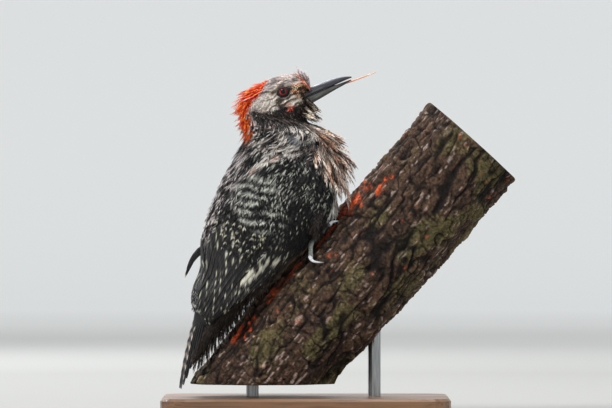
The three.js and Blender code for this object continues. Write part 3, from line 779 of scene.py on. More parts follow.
def head_tint(at, deg, place, u, v, feather, lock):
    """Buff crown, cheeks streaked with brown and cream, a dark line behind the eye, fiery lores."""
    turn, coarse, broad = face_place(deg, place)
    lines = wavy(place, 0.52, 5.0, 1.15, 6)
    crown = mix(paint(140, 128, 126), paint(216, 206, 204), 0.5 + 0.25 * lock + 0.3 * lines)
    # painted highlight: the crown is lighter along its top line, as where light rims it
    crown = mix(crown, paint(232, 226, 228), 0.6 * (1 - smooth(turn, 4, 22)))
    cheek = mix(paint(156, 136, 118), paint(242, 234, 226), np.clip(0.5 + 0.25 * lock + 0.95 * lines, 0, 1))
    base = mix(crown, cheek, smooth(turn, 40, 62) * (1 - smooth(at, 11.4, 12.2)))
    base = base * (1 + 0.07 * feather + 0.08 * coarse + 0.1 * broad)[..., None]
    jaw = smooth(turn + 6 * broad, 60, 80)
    brow = smooth(at + 0.15 * broad, 11.2, 11.7) * smooth(turn, 12, 26)
    some = np.maximum(jaw, 0.45 * brow)
    streak = 0.3 * lock - 1.1 * lines + 0.15 * coarse
    streak = smooth(streak, lerp(0.42, 0.1, some), lerp(0.72, 0.34, some))
    base = mix(base, mix(BROWN, BLACK, 0.2 + 0.5 * some), lerp(0.5, 0.9, some) * streak)
    base = mix(base, paint(240, 218, 208), 0.8 * brow * smooth(lines + 0.3 * lock, 0.1, 0.35))
    red_edge = np.interp(at, RED_AT, RED_DEG, left=0, right=0)
    strip = bell((turn - red_edge - 8) / 7) * (1 - smooth(at, 10.3, 10.9)) * smooth(at, 8.9, 9.3)
    base = mix(base, mix(WHITE, PINKISH, 0.5 + 0.5 * lock), 0.85 * strip)
    face = smooth(at + 0.12 * broad, 11.3, 11.7) * smooth(turn, 62, 74)
    dash = smooth(0.6 * lock + 0.6 * lines + 0.4 * coarse, 0.2, 0.4)
    gold = mix(paint(240, 140, 66), paint(242, 212, 170), smooth(feather + 0.5 * coarse, -0.2, 0.2))
    base = mix(base, mix(mix(BLACK, BROWN, 0.3 + 0.3 * coarse), gold, dash), 0.92 * face)
    bristles = smooth(at, 12.8, 13.2) * smooth(turn, 10, 24) * (1 - smooth(turn, 62, 80))
    spike = mix(mix(RED, ORANGE, 0.5 + 0.5 * feather), paint(244, 214, 190), smooth(lock, 0.2, 0.45))
    base = mix(base, mix(BROWN, spike, smooth(0.8 * feather + 0.5 * lock, -0.35, -0.1)), 0.94 * bristles)
    ear = bell((turn - lerp(44.5, 66, smooth(at, 10.5, 11.2)) + 2 * coarse) / 3.6)
    ear = ear * smooth(at, 10.2, 10.6) * (1 - smooth(at, 11.3, 11.5))
    base = mix(base, BLACK, 0.88 * ear)
    dark = 1 - smooth(at - np.interp(turn, *CHEEK_EDGE) + 0.25 * coarse + 0.1 * lock, -0.12, 0.2)
    chin = mix(BLACK, paint(62, 48, 42), np.clip(0.4 + 0.5 * coarse + 0.25 * lock, 0, 1))
    chin = mix(chin, paint(150, 134, 122), 0.85 * smooth(lock + 0.35 * feather, 0.8, 1.0))
    base = mix(base, chin, dark * smooth(turn, 34, 46))
    malar = bell((at - 10.12) / 0.5, (turn - 100) / 11) * 1.4 + 0.25 * coarse
    malar_fleck = smooth(malar, 0.5, 0.8) * smooth(0.6 * feather + 0.8 * coarse + 0.3 * lock, 0.02, 0.2)
    base = mix(base, mix(paint(238, 46, 28), paint(240, 128, 100), 0.5 + 0.5 * lock), malar_fleck * 0.94)
    return with_red(base, at, deg, u, feather, lock)


def chin_tint(at, deg, place, u, v, feather, lock):
    """Dark tufts under the bill, two in three of them tipped with cream."""
    dark = mix(BLACK, paint(74, 56, 46), 0.5 + 0.5 * lock)
    tipped = smooth(u + 0.2 * lock, 0.3, 0.5) * smooth(feather, -0.45, -0.2)
    tip = mix(paint(250, 240, 224), paint(240, 204, 168), smooth(lock, 0.3, 0.8))
    return mix(dark, tip, 0.92 * tipped)


def neck_tint(at, deg, place, u, v, feather, lock):
    """Blackish sides of the neck with white wisps, a pale streaked collar, and a slate patch below it."""
    turn, coarse = np.abs(wrap(deg)), noise_at(place, 4, 5)
    curls = wavy(place, 0.7, 6, 1.3, 25)
    base = mix(BLACK, SOOT, np.clip(0.25 + 0.4 * lock, 0, 1))
    base = mix(base, paint(104, 90, 84), 0.75 * smooth(lock + 0.3 * coarse, 0.4, 0.65))
    wisp = smooth(0.6 * lock + 0.3 * feather + 0.9 * curls, 0.62, 0.78)
    collar = bell((at - 7.2 - 0.004 * (turn - 90)) / 0.42) * smooth(turn, 66, 84)
    wisp = np.maximum(wisp, collar * smooth(0.5 * lock + 0.9 * curls, -0.15, 0.12))
    upper = smooth(turn, 8, 24) * (1 - smooth(turn, 60, 95)) * (1 - smooth(at, 6.5, 7.4))
    wisp = np.maximum(wisp, upper * smooth(0.4 * lock + 0.4 * feather + 0.9 * curls, -0.05, 0.2))
    below_throat = 6.9 + 0.018 * (turn - 48)
    wisp = wisp * (1 - 0.8 * smooth(at - below_throat + 0.15 * coarse, 0, 0.4) * smooth(turn, 34, 46))
    base = mix(base, mix(WHITE, lerp(PINKISH, GREY, 0.3), 0.4 + 0.4 * feather), 0.92 * wisp)
    slate = mix(paint(78, 82, 88), paint(112, 116, 122), 0.5 + 0.5 * lock)
    base = mix(base, slate, 0.9 * smooth(1.5 * bell((at - 6.58) / 0.22, (turn - 75) / 9), 0.5, 0.8))
    breast = smooth(turn + 8 * coarse, 104, 116) * (1 - smooth(at, 7.6, 8.3))
    base = mix(base, breast_colour(u, v, feather, lock, at), breast)
    return with_red(base, at, deg, u, feather, lock)


def breast_colour(u, v, feather, lock, at):
    """Cream, rust or dark feathers with shadowed roots, whiter low on the breast."""
    low = 1 - smooth(at, 4.7, 5.5)
    pale = mix(mix(PINKISH, paint(244, 226, 206), 0.5 + 0.5 * lock), WHITE, low)
    warm = mix(paint(212, 148, 108), paint(116, 74, 52), 0.5 + 0.5 * lock)
    rust = smooth(feather + 0.4 * np.abs(v), 0.45, 0.7) * smooth(u, 0.2, 0.5) * (1 - 0.8 * low)
    tone = mix(pale, warm, 0.9 * rust)
    dark = smooth(-feather + 0.3 * lock, 0.5, 0.66) * (1 - 0.7 * low)
    tone = mix(tone, lerp(BROWN, BLACK, 0.6), 0.94 * dark)
    edge = smooth(np.abs(v), 0.6, 0.9) * (1 - low)
    tone = mix(tone, mix(BROWN, RUST, 0.5 + 0.5 * lock), 0.5 * edge)
    return tone * (0.22 + 0.78 * smooth(u, 0.12, 0.62))[..., None]


BAR_PITCH = 5.3  # mm between the bars of the back


def bars(place, wobble):
    """1 on the pale bars that lie nearly level across the back."""
    wave = 1.5 * noise_at(place, (9, 9, 12), 11) + 0.6 * noise_at(place, (2.5, 2.5, 4), 12)
    phase = (place[..., 2] + 0.15 * place[..., 0] + wave + wobble) / BAR_PITCH
    return 1 - smooth(np.abs((phase % 1) - 0.5) * 2, 0.36, 0.46)


def drops(u, v, first, last):
    """1 on a narrow drop along a feather's shaft, from first to last of its length."""
    along = smooth(u, first, first + 0.06) * (1 - smooth(u, last - 0.04, last))
    return (1 - smooth(np.abs(v), 0.05, 0.15)) * along


def chevrons(u, v, slope, top):
    """1 on two thin strokes that slant outward from the shaft, from top of the feather's length on."""
    stroke = 1 - smooth(np.abs(np.abs(v) - slope * (u - top)), 0.1, 0.22)
    stroke = stroke * smooth(u, top, top + 0.07) * (1 - smooth(u, 0.88, 0.97))
    return stroke * (1 - smooth(np.abs(v), 0.5, 0.7))


SHOULDER_LINE = (4.45, 34, 0.04)  # at and deg on the pale shoulder patch, and how far it climbs each degree


def shoulder_patch(at, turn):
    """How far above the middle of the pale shoulder patch a place lies, in stations."""
    return at - SHOULDER_LINE[0] - SHOULDER_LINE[2] * (turn - SHOULDER_LINE[1])


BAR_REGION = (4.15, 32, 22)  # an at, the deg where the bars begin there, and how many more each station down


def across_bars(at, turn):
    """Degrees outward from where the pale bars of the back begin."""
    return turn - BAR_REGION[1] - BAR_REGION[2] * (BAR_REGION[0] - at)


def back_bars(at, turn, place, feather, lock, coarse):
    """How white the barred part of the back is: even bars at the mantle that break up over the wing."""
    over = across_bars(at, turn)
    strong = smooth(over + 3 * coarse, -7, 1) * (1 - smooth(over + 18 * coarse, 40, 62))
    strong = strong * smooth(at, 2.9, 3.15) * (1 - smooth(shoulder_patch(at, turn), -0.34, -0.2))
    wobble = 0.35 * feather + 0.4 * lock
    cut = bars(place, wobble) * smooth(0.6 * feather + 0.7 * coarse + 0.5 * lock - 0.02 * over, -1.1, -0.75)
    return strong * cut


def back_tint(at, deg, place, u, v, feather, lock):
    """Black feathers: streaked at the shoulders, barred over the mantle, pale on the shoulder patch."""
    turn, coarse = np.abs(wrap(deg)), noise_at(place, 5, 7)
    tone = mix(BLACK, SOOT, np.clip(0.2 + 0.3 * lock + 0.25 * coarse, 0, 1))
    above = shoulder_patch(at, turn)
    over = across_bars(at, turn)
    # painted highlight: a pale grey wash over the back's upper line above the bars, as where light rims it
    rim_highlight = smooth(over + 4 * coarse, -22, -12) * (1 - smooth(over, -2, 8))
    rim_highlight = rim_highlight * smooth(at, 3.1, 3.4) * (1 - smooth(at, 4.2, 4.5))
    rim_highlight = 0.85 * rim_highlight * smooth(lock + 0.5 * coarse, -0.2, 0.3)
    tone = mix(tone, mix(GREY, WHITE, 0.4 + 0.4 * feather), rim_highlight)
    white = mix(mix(WHITE, paint(206, 212, 200), 0.5 + 0.5 * lock), GREY, np.clip(0.3 * coarse, 0, 0.4))
    tone = mix(tone, white, 0.95 * back_bars(at, turn, place, feather, lock, coarse))
    beyond = smooth(over, 26, 40) * smooth(at, 2.9, 3.2) * (1 - smooth(above, -0.3, -0.1))
    fleck = 0.8 * smooth(lock + 0.4 * coarse, 0.62, 0.8) * smooth(u, 0.4, 0.6)
    fleck = np.maximum(drops(u, v - 0.2 * feather, 0.76, 0.95), fleck)
    tone = mix(tone, mix(paint(206, 212, 198), GREY, 0.4 + 0.4 * feather), 0.85 * beyond * fleck)
    patch = bell((above - 0.06) / (0.2 + 0.12 * smooth(turn, 60, 80)))
    patch = patch * smooth(turn, 30, 38) * (1 - smooth(turn, 84, 96))
    patch = smooth(patch + 0.25 * coarse + 0.35 * lock, 0.34, 0.6)
    ruddy = mix(paint(176, 128, 112), paint(216, 190, 180), 0.5 + 0.5 * lock)
    pale = mix(mix(PINKISH, WHITE, 0.5 + 0.4 * lock), ruddy, smooth(0.6 * coarse - 0.5 * feather, 0.25, 0.4))
    tone = mix(tone, pale, 0.94 * patch)
    curls = wavy(place, 0.85, 8, 1.5, 25)
    shoulder = 0.92 * smooth(above, 0.15, 0.35) * smooth(turn, 22, 32)
    shoulder = shoulder * smooth(0.4 * lock + 0.9 * curls, 0.08, 0.28)
    tone = mix(tone, mix(WHITE, GREY, 0.2 + 0.2 * feather), shoulder)
    ridge = (1 - smooth(turn, 20, 34)) * smooth(at, 1.8, 2.6)
    long_streak = smooth(0.6 * lock + 0.5 * feather + 0.4 * curls, 0.1, 0.3) * smooth(u, 0.15, 0.35)
    tone = mix(tone, mix(paint(236, 226, 226), GREY, 0.15 + 0.2 * feather), 0.92 * ridge * long_streak)
    low = (1 - smooth(at, 2.9, 3.2)) * smooth(turn, 8, 20)
    some = smooth(feather + 0.4 * coarse, -0.55, -0.35)
    tone = mix(tone, lerp(IVORY, WHITE, 0.5), 0.9 * low * some * chevrons(u, v, 1.6, 0.76))
    return with_red(tone, at, deg, u, feather, lock)


def covert_tint(at, deg, place, u, v, feather, lock):
    """Black coverts: a slim pale drop near each tip, streaks near the wrist and a plain dusky lower edge."""
    turn, coarse = np.abs(wrap(deg)), noise_at(place, 5, 9)
    dark = mix(BLACK, SOOT, np.clip(0.3 + 0.4 * lock + 0.2 * coarse, 0, 1))
    low = 1 - smooth(at + 0.2 * coarse, 2.7, 3.2)
    first = 0.8 + 0.06 * feather
    drop = drops(u, v - 0.2 * feather, first, first + 0.17)
    mark = lerp(drop, chevrons(u, v, 1.5, 0.78), low)
    plain = smooth(turn + 30 * (3.5 - at), 114, 128) * (1 - smooth(at, 3.9, 4.3))
    mark = mark * (1 - plain) * smooth(np.abs(feather) + 0.3 * coarse, 0.15, 0.3)
    green = mix(paint(204, 210, 186), paint(150, 152, 138), np.clip(0.4 + 0.6 * feather, 0, 1))
    tone = mix(dark, mix(green, IVORY, 0.8 * low), 0.9 * mark)
    white = mix(WHITE, paint(196, 204, 190), 0.5 + 0.5 * lock)
    white = mix(white, GREY, np.clip(0.2 + 0.35 * coarse, 0, 0.5))
    tone = mix(tone, white, 0.9 * back_bars(at, turn, place, feather, lock, coarse))
    wisp = smooth(at, 3.9, 4.8) * smooth(0.8 * lock + 0.5 * coarse + 0.3 * feather, 0.4, 0.58)
    wisp = wisp * smooth(u, 0.3, 0.5)
    return mix(tone, mix(paint(206, 210, 196), GREY, 0.4 + 0.3 * feather), 0.8 * wisp)


def belly_tint(at, deg, place, u, v, feather, lock):
    """Cream breast strands; a dusky buff belly; barred flanks, rump and feathers under the tail."""
    turn = np.abs(wrap(deg))
    dull = mix(paint(150, 134, 118), paint(92, 76, 62), 0.5 + 0.5 * lock)
    dull = mix(dull, RUST, 0.4 * bell((at - 3) / 0.8) * smooth(turn, 150, 172))
    # painted shade: the belly's sides darken to black towards the wing's lower edge and the branch
    dull = mix(dull, BLACK, 0.85 * (1 - smooth(turn, 142, 166)))
    tone = mix(dull, breast_colour(u, v, feather, lock, at), smooth(at, 3.6, 4.4))
    banded = bars(place, 0.6 * feather + 0.4 * lock) * (1 - smooth(at, 2.0, 2.8))
    return mix(tone, lerp(BLACK, BROWN, 0.3), 0.85 * banded)


def rump_tint(at, deg, place, u, v, feather, lock):
    """Black and white bars over the rump and the feathers above the tail."""
    banded = bars(place, 0.5 * feather + 0.6 * lock)
    return mix(mix(BLACK, SOOT, 0.5 + 0.5 * lock), WHITE, 0.8 * banded)


WHITE_PATCH = (  # the primaries' white spots: at, deg, half the length in stations, half the width in degrees
    (2.35, 98, 0.15, 4.6), (1.62, 101, 0.3, 6.5), (1.97, 110, 0.46, 3.4), (2.32, 122.5, 0.18, 4.2),
)


def wing_quill_tint(at, deg, place, s, v, number, lock, length):
    """Black, with pale notches on tertials (0 to 2) and secondaries (3 to 9) and white spots on primaries."""
    turn, ragged = np.abs(wrap(deg)), noise_at(place, 1.6, 21)
    tone = mix(BLACK, SOOT, np.clip(0.15 + 0.3 * lock + 0.3 * smooth(s, 0.8, 1), 0, 1))
    if number < 10:
        step = s * length / 7.6 + 0.37 * number + 0.2 * noise_at(place, 5, 22)
        run = np.abs(step % 1 - 0.5 + 0.15 * (np.abs(v) - 0.6)) * 2
        chance = noise(np.floor(step) * 0.83, number * 1.7 + 0.5 * np.sign(v), 0.5 + 0 * step, 24)
        length_share = 0.3 * np.abs(chance)
        notch = (1 - smooth(run, 0.12 + length_share, 0.34 + length_share)) * smooth(chance, -0.4, -0.3)
        from_middle = np.abs(np.abs(v) - (0.6 + 0.25 * chance))
        notch = notch * (1 - smooth(from_middle + 0.06 * ragged, 0.07, 0.13))
        tone = mix(tone, mix(paint(206, 206, 176), WHITE, 0.4 + 0.5 * ragged), 0.85 * notch)
    else:
        spots = 0
        for spot_at, spot_deg, tall, wide in WHITE_PATCH:
            off = np.hypot((at - spot_at) / tall, (turn - spot_deg - 6 * (at - spot_at)) / wide)
            spots = np.maximum(spots, 1.3 - off)
        shown = smooth(spots + 0.5 * ragged + 0.3 * lock, 0.3, 0.42) * smooth(v, -0.8, -0.6)
        tone = mix(tone, mix(WHITE, IVORY, 0.35 + 0.4 * ragged), 0.96 * shown)
    hem = smooth(v, 0.9, 0.97) * smooth(s, 0.3, 0.5)
    return mix(tone, GREY, 0.75 * hem)


def tail_tint(at, deg, place, s, v, number, lock, length):
    """Black, with pale bars on the edges of the middle and outermost feathers."""
    tone = mix(BLACK, SOOT, np.clip(0.4 + 0.3 * lock + 0.5 * smooth(s, 0.9, 1), 0, 1))
    if number in (0, 5):
        phase = (s * length / 6.5) % 1
        notch = (1 - smooth(np.abs(phase - 0.5) * 2, 0.35, 0.6)) * smooth(np.abs(v), 0.35, 0.6)
        tone = mix(tone, CREAM, 0.8 * notch)
    return tone


# ---- the skin, its lids, and the eyes ----

def coat_depth(at):
    """How far under the coat's outer surface the skin lies."""
    return np.interp(at, [-1.2, 2, 5, 6.5, 8, 9.5, 11, 13, 14], [2.4, 3.4, 3.6, 3.2, 2.2, 1.6, 1.3, 1.0, 0.5])


def eye_centre(side):
    return in_plane(EYE["at"], HEAD_Y - side * EYE["out"])


LID_INNER, LID_OUTER, DISH = 2.35, 3.7, 8.5  # mm from the eye's axis: the lid's edge, its fold and the dish
LID_PROUD = 0.42  # mm that a lid stands over the eyeball
LID_STRETCH = np.array([1.12, 0.9])  # the lids' opening along and up, as shares of a round one
EYE_CORNER = 4.15  # mm from the eye's axis, past which the lids lie level


def eye_distance(points):
    """How far points are from the eyes' axis, measured so that the lids count as round."""
    return np.linalg.norm((points[..., [0, 2]] - np.array(EYE["at"])) / LID_STRETCH, axis=-1)


def rim_height(points, proud):
    """How far out of the eye's middle a shell lies that is proud of the ball, level past the lids' corners."""
    true = np.linalg.norm(points[..., [0, 2]] - np.array(EYE["at"]), axis=-1)
    return np.sqrt(np.maximum((EYE["radius"] + proud) ** 2 - np.minimum(true, EYE_CORNER) ** 2, 0))


def press_to_eyes(points, far, wanted):
    """Moves points near the eyes sideways. far is their eye_distance, and wanted(out) turns how far out of the
    eye's middle they lie into how far out they should."""
    shaped = points.copy()
    for side in SIDES.values():
        middle = HEAD_Y - side * EYE["out"]
        near = (far < DISH) & ((points[..., 1] - HEAD_Y) * -side > 2)
        out = -side * (points[..., 1] - middle)
        shaped[..., 1] = np.where(near, middle - side * wanted(out), shaped[..., 1])
    return shaped


def shaped_round_eyes(points):
    """Sinks the skin into a shallow dish round each eye and turns its rim over the eyeball as a lid."""
    far = eye_distance(points)
    ball = rim_height(points, LID_PROUD)
    inner = rim_height(points, -0.5) - 0.35
    fold = 0.16 * np.sin(np.clip((far - LID_OUTER) / 1.3, 0, 1) * 2 * np.pi)
    fold = fold - 0.08 * np.sin(np.clip((far - LID_INNER) / (LID_OUTER - LID_INNER), 0, 1) * 6 * np.pi)
    share = smooth(far, LID_OUTER, DISH)

    def lid(out):
        return np.where(far < LID_INNER, inner, lerp(ball, out, share) - fold)

    return press_to_eyes(points, far, lid)


def dense(low, high, places, count, narrow):
    """count numbers from low to high that crowd round the given places."""
    fine = np.linspace(low, high, 4000)
    weight = 1 + sum(5 * bell((fine - p) / narrow) for p in places)
    total = np.cumsum(weight)
    return np.interp(np.linspace(total[0], total[-1], count), total, fine)


SKIN_ENDS = (-1.15, 14.05)  # the stations where the skin is closed, under the tail and inside the bill


def skin():
    """One closed skin for head, neck, body and thighs, finest round the eyes."""
    at = np.concatenate([np.linspace(SKIN_ENDS[0], 9.4, 120), dense(9.45, SKIN_ENDS[1], [11.35], 150, 0.75)])
    deg = dense(-180, 180, [-71, 71], 221, 22)[:-1]
    A, D = np.meshgrid(at, deg, indexing="ij")
    points = shaped_round_eyes(on_body(A, D, -coat_depth(A) - sunk(A, D)))
    faces = split(grid_faces(len(at), len(deg), True))[:, ::-1]
    flat, closed = tube_mesh(points)
    uv = np.vstack([unwrap(A, D).reshape(-1, 2), unwrap(at[[0, -1]], np.zeros(2))])
    body = mesh_object("skin", flat, closed[:, ::-1], np.ones((len(flat), 3)), uv, SKIN_FINISH)
    for side in SIDES.values():
        t = np.linspace(0, 1, 24)
        hip, heel = thigh_ends(side)
        radius = lerp(THIGH["radius"], THIGH["heel_radius"], t) - 1.2
        points, faces = tube_mesh(sweep(hip + t[:, None] * (heel - hip), radius, 24))
        white, corner = np.ones((len(points), 3)), np.full((len(points), 2), 0.01)
        union(body, mesh_object("thigh", points, faces, white, corner))
    paint_skin(body)
    finish_piece(body, "breast_plumage", "trunk", "neck", "head", "thigh_right", "thigh_left")


def union(body, other):
    """Joins other to body as one closed surface."""
    for thing in (body, other):
        made = bmesh.new()
        made.from_mesh(thing.data)
        bmesh.ops.recalc_face_normals(made, faces=made.faces)
        made.to_mesh(thing.data)
        made.free()
    cut = body.modifiers.new("join", "BOOLEAN")
    cut.operation = "UNION"
    cut.solver = "EXACT"
    cut.object = other
    bpy.context.view_layer.objects.active = body
    with bpy.context.temp_override(object=body, active_object=body, selected_objects=[body]):
        bpy.ops.object.modifier_apply(modifier=cut.name)
    bpy.data.objects.remove(other)


def paint_skin(body):
    """Markings that follow the coat's, halved as painted shade, with dark bare lids."""
    mesh = body.data
    points = np.empty(len(mesh.vertices) * 3, np.float32)
    mesh.vertices.foreach_get("co", points)
    points = points.reshape(-1, 3) / MM
    stations = np.linspace(*SKIN_ENDS, 400)
    centres = section(stations)[0]
    nearest = np.empty(len(points), int)
    for chunk in range(0, len(points), 4000):
        gap = points[chunk : chunk + 4000, None] - centres[None]
        nearest[chunk : chunk + 4000] = np.argmin(np.einsum("ijk,ijk->ij", gap, gap), 1)
    at = stations[nearest]
    centre, depth, half, dorsal, lateral = section(at)
    off = points - centre
    deg = np.degrees(np.arctan2(dot(off, lateral) / half, dot(off, dorsal) / depth))
    nil = 0 * at
    tone = lerp(BLACK, SOOT, 0.5)
    for tint, u, share in (
        (belly_tint, 0.4, smooth(np.abs(deg), 120, 140)),
        (neck_tint, 0.3, smooth(at, 6.6, 7.2)),
        (head_tint, 0.3, smooth(at, 9, 9.4)),
    ):
        tone = mix(tone, tint(at, deg, points, nil + u, nil, nil, nil), share)
    lid = (1 - smooth(eye_distance(points), 4.0, 4.6)) * (np.abs(points[:, 1] - HEAD_Y) > 2)
    # painted shade: the skin seen between the feathers is half as bright as the coat
    tone = mix(tone * 0.5, LID, lid)
    colours = np.ones((len(points), 4), np.float32)
    colours[:, :3] = tone
    layer = mesh.color_attributes.get("tint") or mesh.color_attributes.new("tint", "FLOAT_COLOR", "POINT")
    layer.data.foreach_set("color", colours.ravel())
    mesh.polygons.foreach_set("use_smooth", np.ones(len(mesh.polygons), bool))
    mesh.materials.clear()
    mesh.materials.append(SKIN_FINISH)


PUPIL_EDGE, IRIS_RIM = 1.72, 2.45  # mm from the eye's axis


def eyes():
    """Eyeballs with a slightly raised cornea, seen as a dark pupil in a red iris."""
    turns, rings = 96, 80
    spins = np.linspace(0, 2 * math.pi, turns, endpoint=False)
    polars = np.linspace(0, 1, rings + 1) ** 1.25 * math.pi
    polar, spin = np.meshgrid(polars[1:-1], spins, indexing="ij")
    bulge = EYE["radius"] * (1 + 0.05 * np.exp(-((polar / 0.42) ** 4)))
    for name, side in SIDES.items():
        ring = np.sin(polar)
        out = np.stack([ring * np.cos(spin), -side * np.cos(polar), ring * np.sin(spin)], -1)
        points, faces = tube_mesh(eye_centre(side) + bulge[..., None] * out)
        poles = np.array([[0, -side * EYE["radius"] * 1.05, 0], [0, side * EYE["radius"], 0]])
        points[-2:] = eye_centre(side) + poles
        if side < 0:
            faces = faces[:, ::-1]
        angle = np.concatenate([polar.ravel(), [0, math.pi]])
        around = np.concatenate([spin.ravel(), [0, 0]])
        wide = np.where(angle > math.pi / 2, EYE["radius"], EYE["radius"] * np.sin(angle))
        fibre = noise(np.cos(around) * 9, np.sin(around) * 9, wide * 1.5, 4)
        # painted light and shade: the iris is brighter at its lower back and darker above
        lit = smooth(np.cos(around - math.radians(235)), 0.1, 0.9)  # brighter at the lower back of the iris
        iris = mix(IRIS, IRIS_LIT, 0.15 + 0.6 * lit) * (1 + 0.2 * fibre)[:, None]
        tint = mix(PUPIL, iris, smooth(wide, PUPIL_EDGE - 0.08, PUPIL_EDGE + 0.08))
        tint = mix(tint, IRIS_EDGE, smooth(wide, IRIS_RIM - 0.3, IRIS_RIM + 0.15))
        tint = mix(tint, LID, smooth(wide, IRIS_RIM + 0.3, IRIS_RIM + 0.5))
        flat = 0.45 * angle / math.pi
        uv = np.stack([0.5 + flat * np.cos(around), 0.5 + flat * np.sin(around)], -1)
        thing = mesh_object(f"eyeball_{name}", points, faces, tint, uv, EYE_FINISH)
        finish_piece(thing, "eye_ball", f"eye_{name}")


# ---- the bill and tongue ----

UPPER = {
    "up": 1, "end": 1.0, "depth": 4.7, "width": 9.8,
    "tip_depth": 0.8, "tip_width": 1.3, "bulge": 4.0, "ridge": 0.82,
}
LOWER = {
    "up": -1, "end": 0.965, "depth": 5.2, "width": 8.8,
    "tip_depth": 0.6, "tip_width": 1.1, "bulge": 1.3, "ridge": 0.9,
}


def bill_half(name, spec, node_name):
    """Half of the bill: a wedge with a rounded ridge, a groove along each side and a slightly domed inside."""
    root = in_plane(BILL["root"])
    ahead = in_plane(BILL["tip"]) - root
    up = unit(np.array([-ahead[2], 0, ahead[0]])) * spec["up"]
    rows, sides = 120, 56
    share = lerp(BILL["start"], spec["end"], np.linspace(0, 1, rows) ** 0.9)
    inner = np.maximum(share, 0)
    depth = lerp(spec["tip_depth"], spec["depth"], 1 - inner ** spec["bulge"])
    width = lerp(spec["tip_width"], spec["width"], 1 - inner**1.2)
    parting = 0.04 + 0.42 * smooth(share, 0.5, 0.95)
    arc = np.linspace(0, math.pi, sides - 16)
    flange = np.linspace(-1, 1, 18)[1:-1]
    across = np.concatenate([np.cos(arc), flange])
    over = np.concatenate([np.sin(arc) ** spec["ridge"], 0 * flange])
    hollow = np.concatenate([0 * arc, 0.3 * (1 - flange**2)])
    wave = 0.15 * np.sin(np.pi * inner) * spec["up"]
    height = (parting + wave)[:, None] + over * depth[:, None] + hollow * np.minimum(1, depth[:, None] / 3)
    groove = bell((over - 0.42) / 0.1) * (over > 0) * (1 - smooth(share, 0.15, 0.6))[:, None] * 0.3
    half = (width / 2)[:, None] * across - np.sign(across) * groove
    rings = (root + share[:, None] * ahead)[:, None] + up * height[..., None] + TOWARDS_SIDE * half[..., None]
    points, faces = tube_mesh(rings)
    if spec["up"] > 0:
        faces = faces[:, ::-1]
    run = by_ring(share, sides, (BILL["start"], spec["end"]))
    rise = by_side(over, rows, (0.5, 0.5))
    span = by_side(across, rows)
    uv = np.stack([0.5 + 0.46 * span * (0.35 + 0.65 * (rise > 0.001)), 0.03 + 0.94 * (run + 0.12) / 1.12], -1)
    tint = bill_tint(spec, run, rise, span)
    finish_piece(mesh_object(name, points, faces, tint, uv, HORN), "bill_horn", node_name)


def bill_tint(spec, run, rise, span):
    """Blackish horn, a pale blue painted highlight on the ridge above; a greyer lower half, darker underneath.
    """
    coarse = noise(run * 9, rise * 9, span * 6, 31)
    fine = noise(run * 5, rise * 26, span * 18, 32)
    dark, blue, pale = paint(28, 27, 32), paint(62, 63, 73), paint(148, 150, 164)
    if spec["up"] > 0:
        tint = mix(dark, blue, np.clip(0.35 + 0.35 * coarse + 0.3 * fine, 0, 1))
        # painted highlight: a pale blue streak along the ridge, as a reflection of the sky
        ridge = smooth(rise + 0.08 * fine, 0.76, 0.94) * smooth(run, 0.02, 0.3)
        ridge = ridge * (1 - 0.5 * smooth(run, 0.8, 1))
        tint = mix(tint, pale, 0.7 * ridge)
    else:
        tint = mix(paint(62, 63, 62), paint(108, 110, 106), np.clip(0.5 + 0.4 * coarse + 0.35 * fine, 0, 1))
        # darker along the lower half's underside
        tint = mix(tint, paint(42, 42, 41), 0.7 * smooth(rise, 0.62, 0.9))
        tint = mix(tint, dark, 0.8 * smooth(run, 0.55, 0.95))
    # painted shade: near black on the faces inside the mouth, where the halves part
    tint = mix(tint, paint(18, 17, 20), 0.9 * (1 - smooth(rise, 0.05, 0.3)))
    return mix(tint, paint(40, 34, 32), 0.6 * (1 - smooth(run, -0.05, 0.1)))


def tongue():
    """A slender sagging spike, dull red at its root and pale pink at its tip."""
    start = in_plane(TONGUE["from"])
    rows, sides = 90, 20
    t = np.linspace(0, 1, rows)
    path = start + t[:, None] * (in_plane(TONGUE["to"]) - start)
    path[:, 2] -= TONGUE["sag"] * np.sin(np.pi * t)
    radius = lerp(TONGUE["radius"], TONGUE["tip_radius"], t) * np.minimum(1, ((1.004 - t) / 0.02)) ** 0.5
    ripple = 0.03 * np.sin(t * 140) * (1 - t)
    points, faces = tube_mesh(sweep(path, radius, sides, flat=0.75, bumps=ripple[:, None]))
    run = by_ring(t, sides)
    red, orange, pink = paint(150, 62, 56), paint(226, 150, 104), paint(236, 190, 158)
    tint = mix(mix(red, orange, smooth(run, 0.35, 0.6)), pink, smooth(run, 0.75, 1))
    uv = tube_uv(run, rows, sides, 0.1)
    finish_piece(mesh_object("tongue_flesh", points, faces, tint, uv, WET), "tongue_flesh", "tongue")


# ---- the branch ----

LEAN = math.radians(PERCH["lean"])
UP_BRANCH = np.array([math.cos(LEAN), 0, math.sin(LEAN)])
OFF_BRANCH = np.array([-math.sin(LEAN), 0, math.cos(LEAN)])


def perch_point(along, deg, height):
    """A place on the branch: mm up it, degrees round it from its upper side, mm over its bark."""
    along, deg, height = np.broadcast_arrays(np.asarray(along, float), deg, height)
    turn = np.radians(deg)
    foot = 1 - smooth(along, -90, 10)
    axis = in_plane(PERCH["middle"], 0) + along[..., None] * UP_BRANCH
    axis = axis - OFF_BRANCH * (PERCH["foot_drop"] * foot)[..., None]
    radius = lerp(PERCH["radius"], PERCH["foot_radius"], foot)
    radius = radius + 1.1 * np.sin(along / 31 + 2 * turn) * np.sin(turn - 0.5)
    radius = radius + 0.9 * np.sin(7 * turn + along / 23)
    out = OFF_BRANCH * np.cos(turn)[..., None] + TOWARDS_SIDE * np.sin(turn)[..., None]
    return axis + out * (radius + height)[..., None]


def bird_place(side, spot):
    """A place given as seen from the bird: degrees count out to its own side."""
    along, deg, height = (np.asarray(c, float) for c in spot)
    return perch_point(along, ROLL + side * deg, height)


BARK_ROUND = 36  # mm: the radius at which the bark's pattern is worked out


